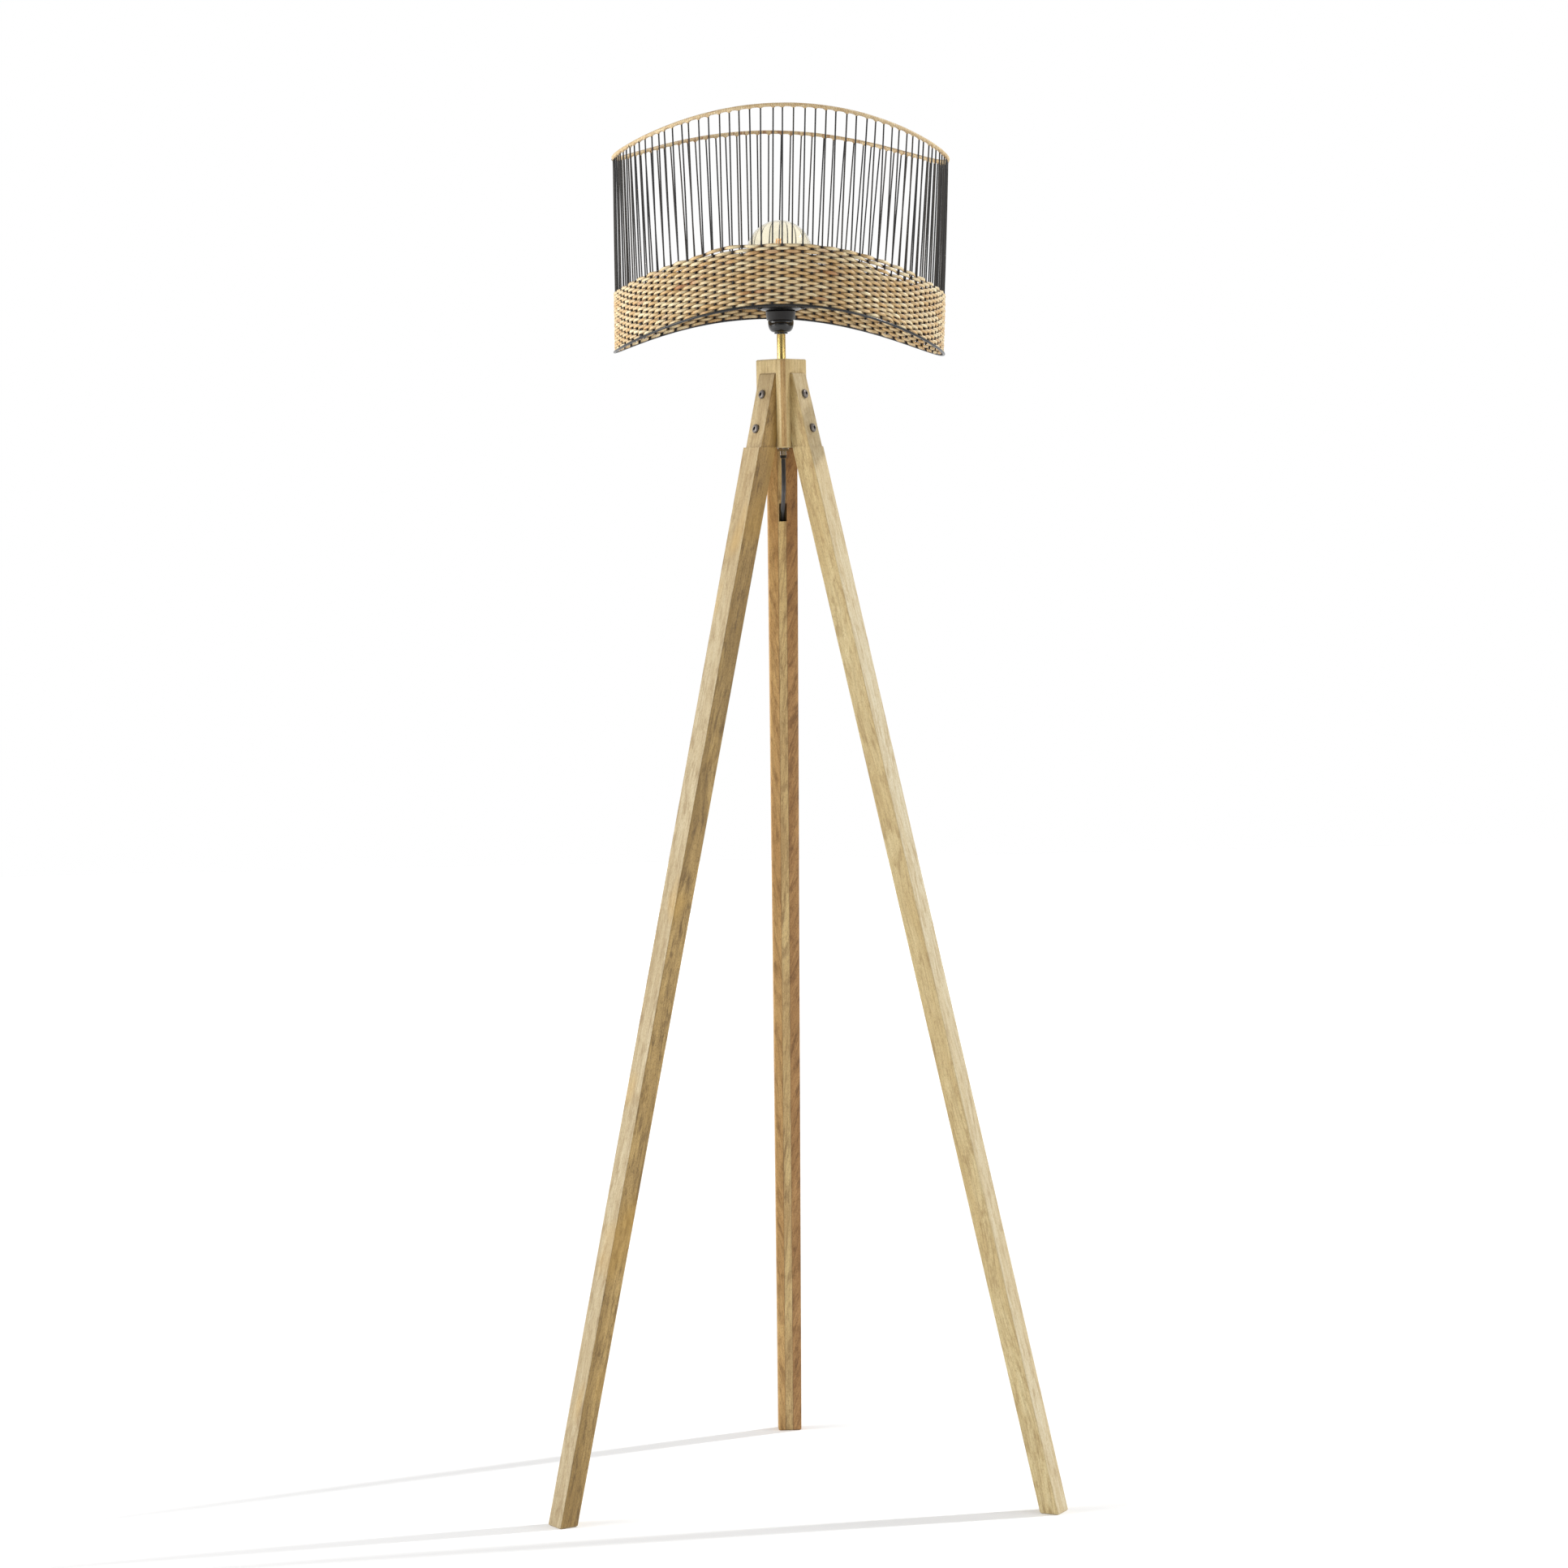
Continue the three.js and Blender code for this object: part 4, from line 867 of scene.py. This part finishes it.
def add_fitter_ring():
    low, high = (corner.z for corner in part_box("shade_fitter"))
    rise = high - low - FITTER_THICKNESS
    round_over = FITTER_THICKNESS / 2
    edge = [(FITTER_RADIUS - round_over + round_over * math.cos(a),
             low + rise + round_over + round_over * math.sin(a))
            for a in np.linspace(-math.pi / 2, math.pi / 2, 7)]
    profile = [(FITTER_HOLE, low), (FITTER_FLAT - 0.0012, low), (FITTER_FLAT, low + 0.0004),
               *edge, (FITTER_FLAT, low + FITTER_THICKNESS + 0.0004),
               (FITTER_FLAT - 0.0012, low + FITTER_THICKNESS),
               (FITTER_HOLE, low + FITTER_THICKNESS)]
    enamel = worn("fitter_enamel", rgb(12, 12, 12), 0.22, spread=0.15, Specular_IOR_Level=0.2)
    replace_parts(turned("fitter_ring", profile, enamel, "shade"), "shade_fitter")


def add_welds():
    """A small lump of weld where each arm leaves the ring."""
    lumps = Surface()
    bearing = np.arange(WELD_SIDES) / WELD_SIDES * TAU
    climb = np.linspace(-0.495, 0.495, WELD_SIDES // 2 + 1) * math.pi
    for side, azimuth in LEG_AZIMUTHS.items():
        points = world_points(f"{side}_fitter_arm") - AXIS
        inner = points[np.argsort(np.hypot(points[:, 0], points[:, 1]))[:8]].mean(axis=0)
        outward = np.array([math.cos(azimuth), math.sin(azimuth), 0.0])
        sideways = np.array([-math.sin(azimuth), math.cos(azimuth), 0.0])
        centre = AXIS + inner + WELD_LENGTH * 0.6 * outward
        ball = np.stack(np.broadcast_arrays(
            np.cos(climb)[None] * np.cos(bearing)[:, None],
            np.cos(climb)[None] * np.sin(bearing)[:, None], np.sin(climb)[None]), -1)
        ball = ball * (1 + rng.normal(0, 0.05, ball.shape[:2] + (1,)))
        lumps.grid(centre + ball[..., :1] * WELD_LENGTH * outward
                   + ball[..., 1:2] * WELD_WIDTH * sideways
                   + ball[..., 2:] * WELD_HEIGHT * np.array([0, 0, 1.0]),
                   along_closed=True, round_closed=False)
    lumps.become("arm_welds", black_wire, "shade")


add_holder()
add_fitter_ring()
add_welds()

# Button-head bolts with their hexagon sockets

BOLT_HEAD_RADIUS = 0.0055
BOLT_HEAD_HEIGHT = 0.0033
BOLT_CROWN_RADIUS = 0.0034
BOLT_RADIUS = 0.003
SOCKET_RADIUS = 0.0023
SOCKET_DEPTH = 0.0020
BOLT_BEVEL = 0.0003
BOLT_SIDES = 48


def bolt_axis(name):
    """The middle of a bolt's crown, the way that its head faces, and its length."""
    points = world_points(name)
    middle = (points.min(axis=0) + points.max(axis=0)) / 2
    outward = np.linalg.eigh(np.cov((points - points.mean(axis=0)).T))[1][:, -1]
    if outward[:2].dot((middle - AXIS)[:2]) < 0:
        outward = -outward
    along = (points - middle) @ outward
    wide = points[along > along.max() - BOLT_HEAD_HEIGHT]
    centre = (wide.min(axis=0) + wide.max(axis=0)) / 2
    return centre + outward * (along.max() - (centre - middle) @ outward), outward, np.ptp(along)


def bolt_steel():
    """Dark steel. The mesh's recess tone marks the socket, which takes a painted shade: near
    black, rough and not metallic.
    """
    nodes = Nodes("bolt_steel")
    painted_recess_shade = nodes.tones()["Blue"]
    return nodes.shade(Base_Color=nodes.mix(painted_recess_shade, rgb(112, 106, 102), rgb(12, 11, 11)),
                       Metallic=nodes.between(painted_recess_shade, 0.0, 1.0, 0.85, 0.0),
                       Roughness=nodes.between(painted_recess_shade, 0.0, 1.0, 0.4, 0.9))


def add_bolt(name, steel):
    """Its rings run from the shank's end over the head and into the socket."""
    crown, outward, length = bolt_axis(name)
    angles = np.arange(BOLT_SIDES) / BOLT_SIDES * TAU
    flat = TAU / 6
    hexagon = SOCKET_RADIUS * math.cos(flat / 2) / np.cos(angles % flat - flat / 2)
    shank = [(0.0001, -length), (BOLT_RADIUS - BOLT_BEVEL, -length),
             (BOLT_RADIUS, BOLT_BEVEL - length), (BOLT_RADIUS, -BOLT_HEAD_HEIGHT),
             (BOLT_HEAD_RADIUS - BOLT_BEVEL, -BOLT_HEAD_HEIGHT)]
    dome = [(BOLT_CROWN_RADIUS + (BOLT_HEAD_RADIUS - BOLT_CROWN_RADIUS) * math.sin(a),
             -BOLT_HEAD_HEIGHT * 0.75 * (1 - math.cos(a)))
            for a in np.linspace(math.pi / 2, 0, 9)]
    rings = [(np.full(BOLT_SIDES, radius), depth) for radius, depth in shank + dome]
    rings += [(hexagon + BOLT_BEVEL / 2, 0.0), (hexagon, -BOLT_BEVEL / 2),
              (hexagon, -SOCKET_DEPTH), (hexagon * 0.02, -SOCKET_DEPTH - BOLT_BEVEL)]
    across = unit(np.cross(outward, (0, 0, 1)))
    upward = np.cross(outward, across)
    points = np.array([crown + radius[:, None] * (np.cos(angles)[:, None] * across
                                                  + np.sin(angles)[:, None] * upward)
                       + depth * outward for radius, depth in rings])
    tones = np.zeros((BOLT_SIDES, len(rings), 3))
    # The socket's last rings take the painted shade
    tones[:, -3:, 2] = 1.0
    surface = Surface()
    surface.grid(np.swapaxes(points, 0, 1), along_closed=True, round_closed=False, tone=tones)
    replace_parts(surface.become(f"{name}_turned", steel, "stand"), name)


def add_bolts():
    steel = bolt_steel()
    for side in LEG_AZIMUTHS:
        add_bolt(f"{side}_upper_bolt", steel)
        add_bolt(f"{side}_lower_bolt", steel)


add_bolts()

# Bulb

GLOBE_RADIUS = 0.040
GLASS_WALL = 0.0009
NECK_RADIUS = 0.0128
NECK_HEIGHT = 0.0037
NECK_ANGLE = math.radians(-55)


def globe_profile(inset, seat):
    """Up the neck, through the throat and over the globe."""
    middle = seat + NECK_HEIGHT + GLOBE_RADIUS
    radius, neck = GLOBE_RADIUS - inset, NECK_RADIUS - inset
    join = np.array([radius * math.cos(NECK_ANGLE), middle + radius * math.sin(NECK_ANGLE)])
    run = (join[0] - neck) / -math.sin(NECK_ANGLE)
    corner = np.array([neck, join[1] - run * math.cos(NECK_ANGLE)])
    start = np.array([neck, min(seat + NECK_HEIGHT, corner[1])])
    t = np.linspace(0, 1, 12)[:, None]
    throat = (1 - t) ** 2 * start + 2 * t * (1 - t) * corner + t ** 2 * join
    angle = np.linspace(NECK_ANGLE, math.pi / 2, 40)[1:]
    dome = np.stack([radius * np.cos(angle), middle + radius * np.sin(angle)], -1)
    return np.concatenate([[(neck, seat)], throat, dome])


def add_bulb():
    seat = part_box("bulb_globe")[0].z
    outside = globe_profile(0.0, seat)
    inside = globe_profile(GLASS_WALL, seat)[::-1]
    glass = clear_glass("globe_glass", (0.975, 0.94, 0.82, 1.0))
    globe = turned("glass_globe", np.concatenate([outside, inside]), glass, "bulb",
                   sides=128)
    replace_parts(globe, "bulb_globe")


add_bulb()
dress(worn("filament_wire", rgb(168, 116, 62), 0.4, 0.6), "bulb_filament")

# Stage

PANEL = {"shape": "SQUARE", "size": 2.6}
# Name, kind, strength, azimuth and elevation in degrees, settings
LIGHTS = [("key", "SUN", 2.1, 16, 38, {"angle": math.radians(2.5)}),
          ("fill", "AREA", 152.0, 190, 14, PANEL),
          ("side", "AREA", 55.0, 335, 12, PANEL)]
LIGHT_DISTANCE = 4.0
LIT_HEIGHT = 0.9
AMBIENT = 0.40
DARK_END = -0.97, -0.80
DARK_END_SHARE = 0.12
FLOOR_HALF = 9.0
# The floor's own light grows with the distance from the lamp, so its shadows show
FLOOR_GLOW = 0.08, 0.45
FLOOR_REACH = 1.0, 5.0


def add_light(name, kind, strength, azimuth, elevation, settings):
    data = bpy.data.lights.new(name, kind)
    data.energy = strength
    for key, value in settings.items():
        setattr(data, key, value)
    light = placed(name, data)
    azimuth, elevation = math.radians(azimuth), math.radians(elevation)
    away = Vector((math.cos(azimuth) * math.cos(elevation),
                   math.sin(azimuth) * math.cos(elevation), math.sin(elevation)))
    light.location = Vector(AXIS) + Vector((0, 0, LIT_HEIGHT)) + away * LIGHT_DISTANCE
    light.rotation_euler = away.to_track_quat("Z", "Y").to_euler()


def add_world():
    """White to the camera, in glass and in gloss, and dimmer as a light. In gloss the dark
    end of the studio, in front of the lamp, shows as a soft band."""
    world = bpy.data.worlds.new("studio")
    bpy.context.scene.world = world
    world.use_nodes = True
    tree = world.node_tree
    tree.nodes.clear()

    def add(kind, **settings):
        node = tree.nodes.new("ShaderNode" + kind)
        for key, value in settings.items():
            setattr(node, key, value)
        return node

    path, place = add("LightPath"), add("TexCoord")
    split = add("SeparateXYZ")
    tree.links.new(place.outputs["Generated"], split.inputs["Vector"])
    dark_end = add("MapRange", interpolation_type="SMOOTHSTEP")
    tree.links.new(split.outputs["Y"], dark_end.inputs["Value"])
    for key, value in (("From Min", DARK_END[0]), ("From Max", DARK_END[1]),
                       ("To Min", DARK_END_SHARE), ("To Max", 1.0)):
        dark_end.inputs[key].default_value = value
    seen = add("Math", operation="MAXIMUM")
    tree.links.new(path.outputs["Is Camera Ray"], seen.inputs[0])
    tree.links.new(path.outputs["Is Transmission Ray"], seen.inputs[1])
    gloss = add("Math", operation="MULTIPLY")
    tree.links.new(path.outputs["Is Glossy Ray"], gloss.inputs[0])
    tree.links.new(dark_end.outputs["Result"], gloss.inputs[1])
    either = add("Math", operation="MAXIMUM")
    tree.links.new(seen.outputs[0], either.inputs[0])
    tree.links.new(gloss.outputs[0], either.inputs[1])
    is_light = add("Math", operation="MAXIMUM")
    tree.links.new(seen.outputs[0], is_light.inputs[0])
    tree.links.new(path.outputs["Is Glossy Ray"], is_light.inputs[1])
    strength = add("Mix", data_type="FLOAT")
    tree.links.new(is_light.outputs[0], strength.inputs[0])
    strength.inputs[2].default_value = AMBIENT
    tree.links.new(either.outputs[0], strength.inputs[3])
    background = add("Background")
    background.inputs["Color"].default_value = (1, 1, 1, 1)
    tree.links.new(strength.outputs[0], background.inputs["Strength"])
    output = add("OutputWorld")
    tree.links.new(background.outputs["Background"], output.inputs["Surface"])


def add_stage():
    for light in LIGHTS:
        add_light(*light)
    add_world()
    nodes = Nodes("floor_white")
    nodes.shade(Base_Color=(0.9, 0.9, 0.9, 1), Roughness=0.9, Specular_IOR_Level=0.1)
    path = nodes.add("LightPath")
    seen = nodes.maths("MAXIMUM", path.outputs["Is Camera Ray"], nodes.maths(
        "MAXIMUM", path.outputs["Is Glossy Ray"], path.outputs["Is Transmission Ray"]))
    away = nodes.add("VectorMath", {"operation": "DISTANCE"})
    nodes.set(away, "in0", nodes.add("TexCoord").outputs["Object"])
    nodes.set(away, "in1", tuple(AXIS))
    glow = nodes.between(away.outputs["Value"], *FLOOR_REACH, *FLOOR_GLOW)
    nodes.shade(Emission_Color=(1, 1, 1, 1),
                Emission_Strength=nodes.maths("MULTIPLY", seen, glow))
    corners = [AXIS + (x * FLOOR_HALF, y * FLOOR_HALF, 0)
               for x, y in ((-1, -1), (1, -1), (1, 1), (-1, 1))]
    mesh = bpy.data.meshes.new("floor")
    mesh.from_pydata(corners, [], [(0, 1, 2, 3)])
    mesh.materials.append(nodes.material)
    placed("floor", mesh)


add_stage()
bpy.context.scene.view_settings.view_transform = "Standard"
